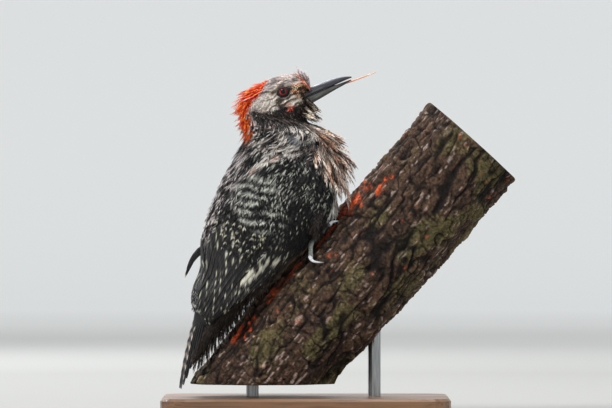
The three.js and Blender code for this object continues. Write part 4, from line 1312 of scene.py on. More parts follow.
def bark_relief(along, deg):
    """Height of the bark over the smooth branch, with its cracks and the noises that colour it."""
    turn = np.radians(deg) + 0.003 * along
    fx, fy = BARK_ROUND * np.cos(turn), BARK_ROUND * np.sin(turn)
    warp = 2.6 * noise(along / 16, fx / 12, fy / 12, 41) + 1.1 * noise(along / 6, fx / 5, fy / 5, 42)
    wx, wy = fx + warp, fy + warp
    fibre = noise(along / 13, wx / 2.3, wy / 2.3, 43)
    plate = noise(along / 17, wx / 5.2, wy / 5.2, 44)
    furrow = 1 - 2 * np.abs(noise(along / 24, wx / 5.5, wy / 5.5, 45))
    cross = 1 - 2 * np.abs(noise((along + 2 * warp) / 6, fx / 11, fy / 11, 46))
    fine = noise(along / 3.6, wx / 1.5, wy / 1.5, 47)
    grit = noise(along / 1.5, fx / 1.4, fy / 1.4, 48)
    broad = noise(along / 26, fx / 18, fy / 18, 49)
    crack = np.maximum(smooth(furrow, 0.62, 0.96) * smooth(plate, -0.6, 0.1), 0.6 * smooth(cross, 0.74, 0.98))
    height = 1.3 * broad + 0.7 * fibre + 0.9 * smooth(plate, -0.2, 0.2)
    height = height + 0.55 * fine + 0.35 * grit - 1.7 * crack
    return height, crack, fine, grit, broad, fibre


ORANGE_SPOTS = (  # along the branch, degrees round it, half length, half width in degrees
    (82, 24, 18, 19), (57, 30, 13, 8), (17, 29, 21, 8), (104, 45, 12, 6), (-24, 30, 16, 10),
)


def orange_lichen(along, turn, fine):
    """1 on the patches of orange lichen, which have ragged edges."""
    spots = 0
    for spot_along, spot_turn, long, wide in ORANGE_SPOTS:
        spots = np.maximum(spots, 1.2 - np.hypot((along - spot_along) / long, (turn - spot_turn) / wide))
    return smooth(spots + 0.55 * noise(along / 3.4, turn / 3.4, 0.5, 51) + 0.2 * fine, 0.35, 0.7)


def perch():
    """The branch, with cracked bark, moss, pale flecks and orange lichen, and sawn ends."""
    rows, turns = 320, 285
    deg = np.linspace(-180, 180, turns, endpoint=False)
    low = np.full(turns, -60.0)
    for _ in range(40):  # where the level saw cut meets the bark
        low = low - (perch_point(low, deg, 0)[:, 2] - PERCH["cut_z"]) / UP_BRANCH[2]
    share = np.linspace(0, 1, rows)
    along = lerp(low[None], PERCH["top"], share[:, None])
    turn = np.broadcast_to(deg, along.shape)
    height, crack, fine, grit, broad, fibre = bark_relief(along, turn)
    rim = np.minimum(smooth(share, 0, 0.004), 1 - smooth(share, 0.996, 1))[:, None]
    rings = perch_point(along, turn, -0.4 + height * lerp(0.35, 1, rim))
    rings[0, :, 2] = PERCH["cut_z"]
    arc = BARK_ROUND * np.radians(turn)
    dark, umber, brown = paint(20, 16, 15), paint(50, 39, 32), paint(86, 66, 52)
    silver, moss = paint(168, 158, 152), paint(96, 92, 56)
    tint = mix(umber, brown, np.clip(0.4 + 0.6 * fibre + 0.3 * grit, 0, 1))
    mossy = noise(along / 22, arc / 14, 7.5, 53) + 0.25 * grit + 0.25 * smooth(turn, 20, 110)
    tint = mix(tint, moss, 0.5 * smooth(mossy, 0.15, 0.45))
    tint = mix(tint, dark, 0.85 * smooth(-height + 0.5 * grit, 0.2, 1.3))
    fleck = smooth(noise(along / 4.5, arc / 1.1, 1.5, 54) + 0.35 * fine + 0.2 * broad, 0.42, 0.62)
    tint = mix(tint, mix(silver, paint(150, 118, 104), 0.5 + 0.5 * grit), 0.75 * fleck * (1 - crack))
    orange = orange_lichen(along, turn, fine)
    rust = mix(paint(226, 92, 44), paint(92, 42, 26), np.clip(0.5 + 0.8 * grit + 0.9 * fibre, 0, 1))
    tint = mix(tint, rust, 0.85 * orange * (1 - 0.7 * crack))
    tint = mix(tint, dark, 0.92 * crack)
    tint = tint * (1 + 0.3 * grit + 0.2 * fine)[..., None]
    points, faces, colours, uv = close_ends(rings[:, ::-1], tint[:, ::-1], share)
    finish_piece(mesh_object("branch", points, faces, colours, uv, BARK), "bark", "perch")


def close_ends(rings, tint, share):
    """Closes both sawn ends with rings of wood towards their middles."""
    rows, turns = rings.shape[:2]
    inner = np.linspace(1, 0, 15)[1:-1]
    blocks, tones = [rings.reshape(-1, 3)], [tint.reshape(-1, 3)]
    faces = [split(grid_faces(rows, turns, True))]
    start = rows * turns
    across = np.tile(np.linspace(0.02, 0.98, turns), rows)
    uvs = [np.stack([across, 0.2 + 0.78 * np.repeat(share, turns)], -1)]
    wood, grain, edge_wood = paint(188, 158, 122), paint(146, 114, 82), paint(80, 60, 46)
    spin = np.linspace(0, 2 * math.pi, turns, endpoint=False)
    c, after = np.arange(turns), (np.arange(turns) + 1) % turns
    for edge, sign, disc_at in ((0, 1, 0.1), (rows - 1, -1, 0.3)):
        ring = rings[edge]
        middle = ring.mean(0)
        spokes = middle + inner[:, None, None] * (ring - middle)
        x, z = spokes[..., 0], spokes[..., 2]
        year = 0.5 + 0.5 * np.sin(inner[:, None] * 95 + 1.4 * noise(x / 14, z / 14, 0.5, 62))
        tone = mix(wood, grain, 0.75 * year + 0.15 * noise(x / 1.2, z / 1.2, 0.5, 61))
        tone = mix(tone, edge_wood, smooth(inner, 0.85, 0.95)[:, None])
        blocks += [spokes.reshape(-1, 3), middle[None]]
        tones += [tone.reshape(-1, 3), grain[None]]
        flat = 0.07 * inner[:, None]
        disc = np.stack([disc_at + flat * np.cos(spin), 0.1 + flat * np.sin(spin)], -1)
        uvs += [disc.reshape(-1, 2), np.array([[disc_at, 0.1]])]
        rim, first = c + edge * turns, c + start
        band = np.stack([rim, first, first[after], rim[after]], -1)
        spread = grid_faces(len(inner), turns, True, start)[:, ::-1]
        hub = start + len(inner) * turns
        last = start + (len(inner) - 1) * turns
        fan = np.stack([last + c, np.full(turns, hub), last + after], -1)
        if sign < 0:
            band, spread, fan = band[:, ::-1], spread[:, ::-1], fan[:, ::-1]
        faces += [split(band), split(spread), fan]
        start = hub + 1
    return np.vstack(blocks), np.vstack(faces), np.vstack(tones), np.vstack(uvs)


def bark_finish():
    """A finish that takes its colour from the mesh's tint, with fibres along the branch in tone and relief."""
    made, tree, shader = material("bark")
    tint = node(tree, "ShaderNodeAttribute", attribute_name="tint")
    fibres = noise_field(tree, 900, 6, (0.7, 1, 0.7), 0.7)
    tone = ramp(tree, fibres, [(0.34, 0.4), (0.5, 0.95), (0.66, 1.65)])
    tree.links.new(multiply(tree, tint.outputs["Color"], tone), shader.inputs["Base Color"])
    tree.links.new(ramp(tree, fibres, [(0.3, 0.98), (0.75, 0.75)]), shader.inputs["Roughness"])
    shader.inputs["Specular IOR Level"].default_value = 0.2
    bump(tree, shader, fibres, 1.0, 0.7 * MM)
    return made


BARK = bark_finish()


# ---- legs, toes and claws ----

def leg_line(side, spots, t):
    """The curve through places on the branch, given as seen from the bird."""
    return catmull([bird_place(side, spot) for spot in spots], t)


def away_from_bark(side, spot):
    """The direction out of the bark at a place."""
    return unit(bird_place(side, np.array(spot) + (0, 0, 9)) - bird_place(side, spot))


def thigh_ends(side):
    """Where a thigh starts in the body and where it ends at the heel."""
    hip = on_body(THIGH["hip"][0], side * THIGH["hip"][1], -THIGH["out"])
    return hip, bird_place(side, LEG["heel"])


def scuted(path, radius, pitch, name, node_name, up, dark=0.8):
    """A leg or toe: overlapping scutes, pitch mm apart, across its upper side, and small scales elsewhere.
    It is painted darker, as shade under the wing, up to the share dark of its length."""
    sides = 28
    run = lengths_along(path)
    a = np.linspace(0, 2 * math.pi, sides, endpoint=False)
    top = np.clip(np.sin(a), 0, 1) ** 0.5
    saw = (run[:, None] / pitch) % 1
    steps = (0.5 - saw) * 0.3 * top[None]
    pebbles = 0.07 * np.cos(a * 7)[None] * np.cos(run[:, None] * 7 / pitch) * (1 - top[None])
    points, faces = tube_mesh(sweep(path, radius, sides, up=up, flat=0.92, bumps=steps + pebbles))
    edge = bell((saw - 0.06) / 0.1) * top[None]
    grain = noise_at(points, 1, 71)
    tint = mix(paint(80, 86, 84), paint(120, 126, 120), 0.5 + 0.5 * grain)
    # painted highlight: both sides of the leg or toe are paler, as where light catches its edges
    tint = mix(tint, paint(186, 188, 182), 0.4 * smooth(np.abs(by_side(np.cos(a), len(path))), 0.75, 0.95))
    tint = mix(tint, paint(44, 42, 44), 0.8 * np.concatenate([edge.ravel(), [0, 0]]))
    share = by_ring(run / run[-1], sides)
    # painted shadow: darker from the root up to the share dark of its length, as under the wing
    tint = mix(tint, paint(40, 38, 40), 0.8 * (1 - smooth(share, dark, dark + 0.25)))
    uv = tube_uv(share, len(path), sides)
    finish_piece(mesh_object(name, points, faces, tint, uv, SCALY), "leg_scales", node_name)


def feet():
    """Shins, toes and claws of both feet."""
    for name, side in SIDES.items():
        t = np.linspace(0, 1, 60)
        shin = leg_line(side, (LEG["heel"], LEG["foot"]), t)
        away = unit(bird_place(side, (45, 16, 20)) - bird_place(side, (45, 16, 0)))
        radius = LEG["radius"] * (1 - 0.12 * np.sin(np.pi * t))
        scuted(shin, radius, 2.4, f"shin_{name}", f"tarsus_{name}", away)
        for number, spec in TOES.items():
            line = leg_line(side, spec["path"], t)
            joints = 1 + 0.09 * np.cos(t * 4 * np.pi)
            size = spec["radius"] * lerp(1.0, 0.84, t) * joints
            out = away_from_bark(side, spec["path"][1])
            toe = f"{name}_{number}"
            # dark: how far along each toe the painted shadow of the wing reaches
            scuted(line, size, 1.7, f"toe_scales_{toe}", f"toe_{toe}", out, dark=0.3 if number == 4 else 0.8)
            claw(toe, side, spec)


def claw(toe, side, spec):
    """A curved claw from the end of a toe into the bark, paler along its middle as a painted highlight."""
    before, end = np.array(spec["path"][-2]), np.array(spec["path"][-1])
    start = end + 0.02 * (end - before)
    reach = spec["claw"]
    rows, sides = 44, 24
    s = np.linspace(0, 1, rows)
    along = lerp(start[0], end[0] + reach[0], s) - spec["bow"] * np.sin(np.pi * s)
    deg = lerp(start[1], end[1] + reach[1], s)
    height = lerp(end[2] + 0.5 * np.sin(np.pi * s), 0.4, s**2)
    path = bird_place(side, (along, deg, height))
    radius = lerp(0.85 * spec["radius"], 0.2, s**0.9)
    points, faces = tube_mesh(sweep(path, radius, sides, up=away_from_bark(side, end), flat=1.15))
    run = by_ring(s, sides)
    # painted highlight: the claw is paler towards the middle of its length
    pale = np.clip(0.5 + 0.3 * noise_at(points, 1 / 1.5, 73) + 0.4 * np.sin(np.pi * run), 0, 1)
    tint = mix(paint(104, 106, 112), paint(226, 228, 232), pale)
    tint = mix(tint, paint(70, 68, 72), 0.7 * smooth(run, 0.8, 1))
    uv = tube_uv(run, rows, sides)
    finish_piece(mesh_object(f"claw_horn_{toe}", points, faces, tint, uv, HORN), "claw_horn", f"claw_{toe}")


# ---- plumage ----

def clear_of_eyes(at, deg, room):
    """True where a feather's root lies further than room from the eyes."""
    place = on_body(at, deg, 0)
    return (eye_distance(place) > room) | (np.abs(place[..., 1] - HEAD_Y) < 2)


def short_of_eyes(at, deg, way, wanted, room=3.75):
    """Cuts wanted lengths short so that no tip reaches over an eye."""
    from_eye = (on_body(at, deg, 0)[:, [0, 2]] - np.array(EYE["at"])) / LID_STRETCH
    step = unit(way[:, [0, 2]] / LID_STRETCH)
    along = dot(from_eye, step)
    inside = room**2 - (dot(from_eye, from_eye) - along**2)
    reach = -along - np.sqrt(np.maximum(inside, 0))
    blocked = (inside > 0) & (along < 0)
    return np.where(blocked, np.minimum(wanted, np.maximum(reach, 0.7)), wanted)


def bare_surface(at, deg, height):
    """The lying coat's outer surface without the wings; height is out from it."""
    return on_body(at, deg, height - sunk(at, deg))


def head_surface(at, deg, height):
    """The head's outer surface, dished round the eyes so that short feathers there lie close to the lids."""
    points = bare_surface(at, deg, height)
    far = eye_distance(points)
    rim = rim_height(points, LID_PROUD) + 0.3
    share = smooth(far, LID_OUTER - 0.3, DISH)
    return press_to_eyes(points, far, lambda out: np.minimum(out, lerp(rim, out, share)))


EYE_FLOW = 4.4  # mm from the eye's middle: the circle that the feathers' flow parts round


def head_flow(at, deg, back):
    """Feathers of the head run back in waves and part round the eyes."""
    place = on_body(at, deg, 0)
    rel = place[..., [0, 2]] - np.array(EYE["at"])
    far = np.maximum(dot(rel, rel), EYE_FLOW**2)[..., None]
    way = back[..., [0, 2]]
    parted = way * (1 + EYE_FLOW**2 / far) - 2 * EYE_FLOW**2 / far * dot(way, rel)[..., None] / far * rel
    way = mix(way, parted, smooth(np.abs(place[..., 1] - HEAD_Y), 3, 7))
    swing = 0.45 * noise_at(place, 3.4, 81) - 0.25 * smooth(np.abs(wrap(deg)), 55, 80)
    turned = back.copy()
    turned[..., 0] = way[..., 0] * np.cos(swing) + way[..., 1] * np.sin(swing)
    turned[..., 2] = way[..., 1] * np.cos(swing) - way[..., 0] * np.sin(swing)
    return unit(turned)


def head_coat(rng):
    """Short feathers of crown and face, and the longer red ones of the nape, which stand out in tufts."""
    def row(at):
        return np.interp(at, [8.9, 10, 12, 14], [1.7, 1.45, 1.2, 0.95])

    at, deg = scatter(rng, 9.0, 13.85, row, lambda a: row(a) * 0.95, lambda a, d: clear_of_eyes(a, d, 3.95))
    red = red_share(at, deg, rng.uniform(-1, 1, len(at))) > 0.5
    for name, chosen, slot in (
        ("crown_feathers", ~red, "crown_plumage"),
        ("nape_feathers", red, "nape_plumage"),
    ):
        coat = Coat(name, head_surface)
        a, d = at[chosen], deg[chosen]
        length = np.interp(a, [9, 10, 11, 12.5, 13.3, 14], [7.6, 6.6, 5.4, 4.4, 3.4, 2.4])
        flare = np.abs(rng.normal(0, 0.25, len(a)))
        if name == "nape_feathers":
            length = length * 1.5
            flare = tufted(a, d, 0.2, 4.0) * rng.uniform(0.6, 1, len(a))
        way = Frames(head_surface, a, d, head_flow).ahead
        length = short_of_eyes(a, d, way, length)
        depth = np.minimum(coat_depth(a) * 0.95, 0.25 * length)
        feathers(coat, rng, a, d, length, length * 0.34, depth, 0.1, 4, 0.24, head_tint, ahead=head_flow,
                 flare=flare, curl=rng.normal(0, 0.12, len(a)), loose=0.35, thick=0.16)
        coat.make(FEATHER, slot)


def tufted(at, deg, low, high):
    """A standing-out that rises and falls over the coat, so that neighbours gather in tufts."""
    return lerp(low, high, smooth(noise_at(on_body(at, deg, 0), 3.2, 91), -0.3, 0.5))


def neck_flow(at, deg, back):
    """Feathers on the sides of the neck slant back; those in front swing forward over the ruff."""
    turn = np.abs(wrap(deg))
    slant = smooth(turn, 30, 60) * (1 - smooth(turn, 100, 120))
    slant = slant * smooth(at, 6.2, 6.8) * (1 - smooth(at, 8.4, 9.2))
    flow = mix(back, np.array([-0.7, 0, -0.72]) + 0 * back, 0.8 * slant)
    ruff = smooth(turn, 102, 128) * (1 - smooth(at, 7.8, 8.6))
    flow = mix(flow, np.array([1.0, 0, -0.45]) + 0 * back, 0.8 * ruff)
    flow[..., 0] += 0.5 * noise_at(on_body(at, deg, 0), 5, 92)
    return unit(flow)


def neck_coat(rng):
    """Wispy feathers all round the neck."""
    def row(at):
        return np.interp(at, [6.4, 7.5, 9.2], [2.8, 2.4, 1.9])

    coat = Coat("neck_feathers")
    at, deg = scatter(rng, 6.5, 9.3, row, lambda a: row(a) * 0.95)
    length = np.interp(at, [6.5, 7.5, 8.5, 9.3], [14, 12, 9.5, 7.5])
    red = red_share(at, deg, 0 * at)
    flare = np.abs(rng.normal(0, 0.7, len(at))) + sunk(at, deg) * rng.uniform(0, 0.4, len(at))
    flare = flare + tufted(at, deg, 0, 3.0) * red * smooth(at, 7.2, 8.4)
    feathers(coat, rng, at, deg, length, length * 0.3, coat_depth(at) * 0.95, 0.2, 7, 0.28, neck_tint,
             ahead=neck_flow, flare=flare, curl=rng.normal(0, 0.08, len(at)), loose=0.35, thick=0.18)
    coat.make(FEATHER, "nape_plumage")


def back_flow(at, deg, back):
    """Back feathers hang more steeply than the body slopes."""
    turn = np.abs(wrap(deg))
    share = 0.7 * smooth(turn, 15, 60) * (1 - smooth(turn, 150, 170))
    return unit(mix(back, np.array([-0.12, 0, -1.0]), share))


def back_coat(rng):
    """Broad feathers over the mantle and the middle of the back."""
    coat = Coat("mantle_feathers")

    def keep(at, deg):
        turn = np.abs(wrap(deg))
        return (turn < 84) & (at > np.interp(turn, [0, 20, 40, 84], [2.1, 2.3, 2.5, 2.7]))

    at, deg = scatter(rng, 2.0, 6.9, lambda a: np.interp(a, [2, 5.5, 6.9], [4.0, 3.7, 3.0]),
                      lambda a: np.interp(a, [2, 5.5, 6.9], [3.7, 3.5, 2.9]), keep)
    length = np.interp(at, [2, 3, 5.5, 6.9], [17, 16, 15, 13])
    flare = np.abs(rng.normal(0, 0.3, len(at)))
    feathers(coat, rng, at, deg, length, length * 0.44, 3.4, 0.15, 12, 0.34, back_tint, ahead=back_flow,
             flare=flare, curl=rng.normal(0, 0.04, len(at)), loose=0.16, thick=0.2)
    coat.make(FEATHER, "back_plumage")


COVERT_LAP = 5  # degrees that the coverts reach past the wing's lower edge, over the flank


def covert_coats(rng):
    """The small feathers that cover each folded wing down to its quills."""
    for name, side in SIDES.items():
        coat = Coat(f"covert_feathers_{name}")

        def keep(at, deg, side=side):
            turn = wrap(deg) * side
            low_end = np.interp(turn, [70, 88, 95, 125, 150], [2.45, 2.7, 3.35, 3.4, 3.5])
            return (turn > 74) & (turn < wing_edge(at, 1) + COVERT_LAP) & (at > low_end)

        at, deg = scatter(rng, 2.3, 6.1, lambda a: 3.7, lambda a: 3.2, keep)
        length = np.interp(at, [2.4, 3.4, 5, 6], [17, 15, 13, 11])
        flare = np.abs(rng.normal(0, 0.18, len(at)))
        feathers(coat, rng, at, deg, length, length * 0.42, 3.2, 0.1, 10, 0.34, covert_tint, ahead=back_flow,
                 flare=flare, curl=rng.normal(0, 0.03, len(at)), loose=0.12, thick=0.2)
        coat.make(FEATHER, "back_plumage")


def breast_flow(at, deg, back):
    """Breast feathers swing forward and hang down in fans, clear of the wing."""
    turn = np.abs(wrap(deg))
    high = smooth(at, 5.3, 6.3)[..., None]
    want = np.array([0.55, 0, -1.0]) * (1 - high) + np.array([1.0, 0, -0.5]) * high
    want = want + 0.35 * noise_at(on_body(at, deg, 0), 6, 93)[..., None] * np.array([1, 0, 0.6])
    share = 0.85 * smooth(turn, 96, 130) * smooth(at, 3.9, 4.8)
    return unit(mix(back, want, share))


def breast_coat(rng):
    """Loose narrow feathers over the breast, down to the legs."""
    coat = Coat("breast_feathers")

    def keep(at, deg):
        turn = np.abs(wrap(deg))
        edge = np.where(at < 5.9, wing_edge(at, 1) + 2, np.interp(at, [5.9, 6.4, 7], [110, 96, 90]))
        return turn > edge

    at, deg = scatter(rng, 3.6, 6.9, lambda a: 3.2, lambda a: 2.9, keep)
    length = np.interp(at, [3.6, 5, 6.9], [17, 18, 15])
    flare = np.abs(rng.normal(0, 0.8, len(at))) + sunk(at, deg) * rng.uniform(0, 0.5, len(at))
    feathers(coat, rng, at, deg, length, length * 0.22, 3.2, 0.3, 7, 0.29, belly_tint, ahead=breast_flow,
             flare=flare, curl=rng.normal(0.0, 0.06, len(at)), loose=0.3, thick=0.2)
    coat.make(FEATHER, "breast_plumage")


def belly_coat(rng):
    """Feathers of the belly and under the tail, which hang over the branch and lie closest at the tail."""
    coat = Coat("belly_feathers", on_body)

    def keep(at, deg):
        return np.abs(wrap(deg)) > np.minimum(wing_edge(at, 1) - 22, 128)

    at, deg = scatter(rng, -1.0, 3.75, lambda a: np.interp(a, [1, 2.4], [2.7, 4.0]),
                      lambda a: np.interp(a, [1, 2.4], [2.7, 3.8]), keep, on_body)
    length = np.interp(at, [-1, 1, 3.8], [12, 15, 17])
    hanging = lerp(9.5, 4.5, smooth(at, 0.4, 2.2)) * smooth(np.abs(wrap(deg)), 126, 146)
    hanging = hanging * (1 - smooth(at, 2.3, 3.2))
    flare = np.abs(rng.normal(0, 0.3, len(at))) + hanging * rng.uniform(0.4, 1, len(at))
    feathers(coat, rng, at, deg, length, length * 0.4, 3.0, 0.0, 8, 0.38, belly_tint, loose=0.3, flare=flare)
    coat.make(FEATHER, "breast_plumage")


def rump_coat(rng):
    """Feathers between the folded wings, over the root of the tail."""
    coat = Coat("rump_feathers", bare_surface)
    at, deg = scatter(rng, 0.5, 2.4, lambda a: 4.0, lambda a: 3.7, lambda a, d: np.abs(wrap(d)) < 60, on_body)
    length = np.interp(at, [0.5, 1, 2.4], [12, 14, 16])
    feathers(coat, rng, at, deg, length, length * 0.42, 3.0, -0.4, 9, 0.36, rump_tint, loose=0.2, thick=0.2)
    coat.make(FEATHER, "back_plumage")


def thigh_coat(rng):
    """Short feathers down each thigh, where at runs from 8 at the hip to 0 at the heel."""
    for name, side in SIDES.items():
        hip, heel = thigh_ends(side)

        def surface(at, deg, height, hip=hip, heel=heel):
            axis = unit(heel - hip)
            across = unit(np.cross(axis, np.array([0.3, 0.1, 1.0])))
            over = np.cross(axis, across)
            t, turn, height = np.broadcast_arrays(1 - np.asarray(at, float) / 8, np.radians(deg), height)
            radius = lerp(THIGH["radius"], THIGH["heel_radius"], t) + height
            ring = across * np.cos(turn)[..., None] + over * np.sin(turn)[..., None]
            return hip + (heel - hip) * t[..., None] + ring * radius[..., None]

        coat = Coat(f"thigh_feathers_{name}", surface)
        ats, degs = [], []
        for row, at in enumerate(np.arange(0.3, 7.9, 0.55)):
            count = int(lerp(14, 24, at / 8))
            ats.append(at + rng.uniform(-0.15, 0.15, count))
            around = np.arange(count) + 0.5 * (row % 2) + rng.uniform(-0.2, 0.2, count)
            degs.append(around * 360 / count - 180)
        at, deg = np.concatenate(ats), np.concatenate(degs)
        length = np.interp(at, [0, 2.5], [13, 8])
        feathers(coat, rng, at, deg, length, 2.8, 1.1, 0.0, 4, 0.34, thigh_tint, loose=0.3, thick=0.18)
        coat.make(FEATHER, "breast_plumage")


def thigh_tint(at, deg, place, u, v, feather, lock):
    """Dusky brownish black."""
    return mix(mix(BLACK, SOOT, 0.5 + 0.5 * lock), BROWN, 0.25 + 0.2 * feather)


def forelock_flow(at, deg, back):
    """Spikes over the bill's root point forward along the skin, so that standing out they rise upright."""
    return unit(np.array([1.0, 0, 0.3]) + 0 * back)


def forelock_tint(at, deg, place, u, v, feather, lock):
    """Pale pinkish spikes, some of them red at the root and some brown."""
    pale = mix(paint(240, 230, 236), paint(178, 158, 160), 0.5 + 0.5 * lock)
    pale = mix(pale, lerp(RED, ORANGE, 0.6), 0.9 * (1 - smooth(u, 0.2, 0.4)) * smooth(lock, 0.1, 0.4))
    return mix(pale, BROWN, 0.6 * smooth(-feather + 0.3 * lock, 0.4, 0.6))


def chin_flow(at, deg, back):
    """Tufts under the bill point forward and down."""
    return unit(np.array([0.9, 0, -0.55]) + 0 * back)


STRANDS = (  # name, slot, count, at, deg each side, length, share of the sink, more flare, arch, and then
    # width as a share of the length, barb, tint and flow
    ("nape_wisps", "nape_plumage", 150, (7.5, 11.3), (0, 40), (8, 12), 0, (1.5, 6), 0.2,
     0.17, 0.28, head_tint, None),
    ("forelock", "crown_plumage", 84, (13.2, 13.95), (0, 40), (1.0, 2.6), 0, (5, 8.5), 0.4,
     1.1, 0.36, forelock_tint, forelock_flow),
    ("bristles", "crown_plumage", 110, (13.2, 13.97), (14, 74), (3.0, 4.6), 0, (1.2, 3), 0.3,
     0.26, 0.28, head_tint, None),
    ("chin_wisps", "crown_plumage", 74, (9.7, 12.3), (128, 182), (5, 8), 0.9, (0, 4), 0.4,
     0.3, 0.34, chin_tint, chin_flow),
    ("ruff_wisps", "breast_plumage", 84, (6.8, 8.5), (104, 182), (3, 7), 0.95, (1, 6), 0.7,
     0.5, 0.5, neck_tint, neck_flow),
    ("breast_wisps", "breast_plumage", 130, (5.6, 6.9), (108, 182), (10, 14.5), 0.9, (0, 4), 0.9,
     0.2, 0.42, belly_tint, breast_flow),
    ("flank_wisps", "breast_plumage", 80, (3.9, 4.6), (118, 156), (12, 17), 0, (3, 7), 0,
     0.24, 0.34, thigh_tint, back_flow),
)


def loose_strands(rng):
    """Narrow loose feathers that stand out at the forehead, chin, ruff, breast, flank and nape."""
    for name, slot, count, ats, degs, lengths, share, flares, arch, narrow, barb, tint, flow in STRANDS:
        coat = Coat(name, plumage if slot == "breast_plumage" else head_surface)
        at = rng.uniform(*ats, count)
        deg = rng.uniform(*degs, count) * rng.choice([-1, 1], count)
        length = rng.uniform(*lengths, count)
        flare = sunk(at, deg) * share * rng.uniform(0.3, 1.2, count) + rng.uniform(*flares, count)
        curl = rng.normal(0, 0.1, count)
        feathers(coat, rng, at, deg, length, narrow * length, 1.2, 0.3, 5, barb, tint, ahead=flow, curl=curl,
                 flare=flare, arch=arch, twist=0.7, loose=0.3)
        coat.make(FEATHER, slot)


# ---- wings and tail ----

PRIMARY_TIPS = (-0.35, -0.55, -0.75, -0.9, -1.0, -1.05, -0.95, -0.65, 0.3)  # the at where each primary ends


def wing_quills(rng):
    """The flight feathers of both folded wings."""
    for name, side in SIDES.items():
        specs = []  # root, tip, bow, outer and inner width, heights, tilt
        for i in range(3):  # tertials, the innermost on top
            level = 0.9 - 0.25 * i
            root, tip = (3.5, 46 + 7 * i), (0.62 - 0.24 * i, 7 + 8 * i)
            specs.append((root, tip, -2, 4.6, 5.2, (-2.0, level, level), 0.8))
        for i in range(7):  # secondaries
            level = 0.3 - 0.3 * i
            root, tip = (3.5, 66 + 6.6 * i), (0.12 - 0.06 * i, 30 + 6.6 * i)
            specs.append((root, tip, 1.5, 4.0, 5.6, (-2.4, level, level), 0.9))
        for i, end in enumerate(PRIMARY_TIPS):
            level = -1.3 - 0.24 * i
            root, tip = (3.95 + 0.04 * i, 110 + 4.6 * i), (end, 74 + 6.5 * i)
            specs.append((root, tip, 3 + 1.3 * i, 3.5, 5.8 - 0.2 * i, (-2.0, level * 0.7, level), 0.8))
        for part, chosen, node_name in (
            ("secondaries", range(10), f"wing_{name}"),
            ("primaries", range(10, len(specs)), f"primaries_{name}"),
        ):
            coat = Coat(f"{part}_{name}_feathers")
            for number in reversed(chosen):
                root, tip, bow, outer, inner, heights, tilt = specs[number]
                place = (number - chosen[0]) / len(chosen)
                cell = (place + 0.1 / len(chosen), place + 0.9 / len(chosen))
                root, tip = (root[0], side * root[1]), (tip[0], side * tip[1])
                quill(coat, rng, root, tip, side * bow, outer, inner, heights, tilt, wing_quill_tint, cell,
                      number=number, blunt=0.86 if number < 10 else 0.72)
            coat.make(QUILL, "flight_feathers", node_name)


TAIL_HALF = 14  # mm from the tail's middle to where deg is 100
TAIL_PAIRS = (  # from the middle pair out: the at where each ends and the width of its inner vane
    (0, 3.9), (0.35, 4.2), (0.9, 4.2), (1.7, 4.0), (2.8, 3.6), (5.2, 2.4),
)


def tail_surface(at, deg, height):
    """The tail as a surface: at runs from 10 at its root to 0 at its tip, deg from -100 to 100 across it."""
    share = 1 - np.asarray(at, float) / 10
    across = np.asarray(deg, float) / 100
    share, across, height = np.broadcast_arrays(share, across, height)
    root = in_plane(TAIL["root"], TAIL["root_y"])
    down = in_plane(TAIL["tip"], TAIL["tip_y"]) - root
    upright = unit(np.array([down[2], 0, -down[0]]))
    turn = math.radians(ROLL)
    dorsal = upright * math.cos(turn) + TOWARDS_SIDE * math.sin(turn)
    lateral = TOWARDS_SIDE * math.cos(turn) - upright * math.sin(turn)
    lift = TAIL["bow"] * np.sin(np.pi * share) - TAIL["roof"] * across**2 + height
    middle = root + share[..., None] * down
    return middle + lateral * (across * TAIL_HALF)[..., None] + dorsal * lift[..., None]


def tail_quills(rng):
    """Six pairs of stiff tail feathers: the middle pair lies on top and is longest."""
    coat = Coat("tail_feathers", tail_surface)
    for i, (end, half) in reversed(list(enumerate(TAIL_PAIRS))):
        for side in (1, -1):
            root, tip = (9.7, side * (7 + 8.5 * i)), (end, side * (13 + 14 * i))
            level = 0.9 - 0.45 * i
            cell = (i * 2 + (side > 0)) / 12
            quill(coat, rng, root, tip, 0, half * 0.85, half, (level, level, level - 0.4), 0.5, tail_tint,
                  (cell + 0.008, cell + 0.075), number=i, blunt=0.62, slope=1.7)
    coat.make(QUILL, "flight_feathers", "tail")


def stray_surface(at, deg, height):
    """A loose hooked feather: at from 10 at its root to 0 at its tip, deg 10 for each mm across."""
    knots = [in_plane(STRAY[key], STRAY["y"]) for key in ("from", "bend", "to")]
    share = 1 - np.asarray(at, float) / 10
    share, across, height = np.broadcast_arrays(share, np.asarray(deg, float) / 10, height)
    nose = np.minimum(share + 0.01, 1)
    ahead = unit(catmull(knots, nose) - catmull(knots, nose - 0.02))
    over = unit(np.stack([-ahead[..., 2], 0 * share, ahead[..., 0]], -1))
    beyond = (share - np.clip(share, 0, 1))[..., None] * 30
    middle = catmull(knots, share) + ahead * beyond
    return middle + over * across[..., None] + TOWARDS_SIDE * height[..., None]


def stray_tint(at, deg, place, s, v, number, lock, length):
    """Black with an ivory tip."""
    tone = mix(BLACK, SOOT, np.clip(0.4 + 0.3 * lock, 0, 1))
    return mix(tone, IVORY, 0.9 * smooth(s, 0.92, 0.98))


def stray_feather(rng):
    """The moulting quill that stands out behind the wing and hooks down."""
    coat = Coat("stray_feather", stray_surface)
    quill(coat, rng, (10, 0.1), (0, 0.1), 0, 2.4, 2.4, (0, 0, 0), 0.0, stray_tint, (0.05, 0.95), gap=0.6,
          blunt=0.6, slope=1.8, taper=0.85)
    coat.make(QUILL, "flight_feathers")


# ---- the stand ----

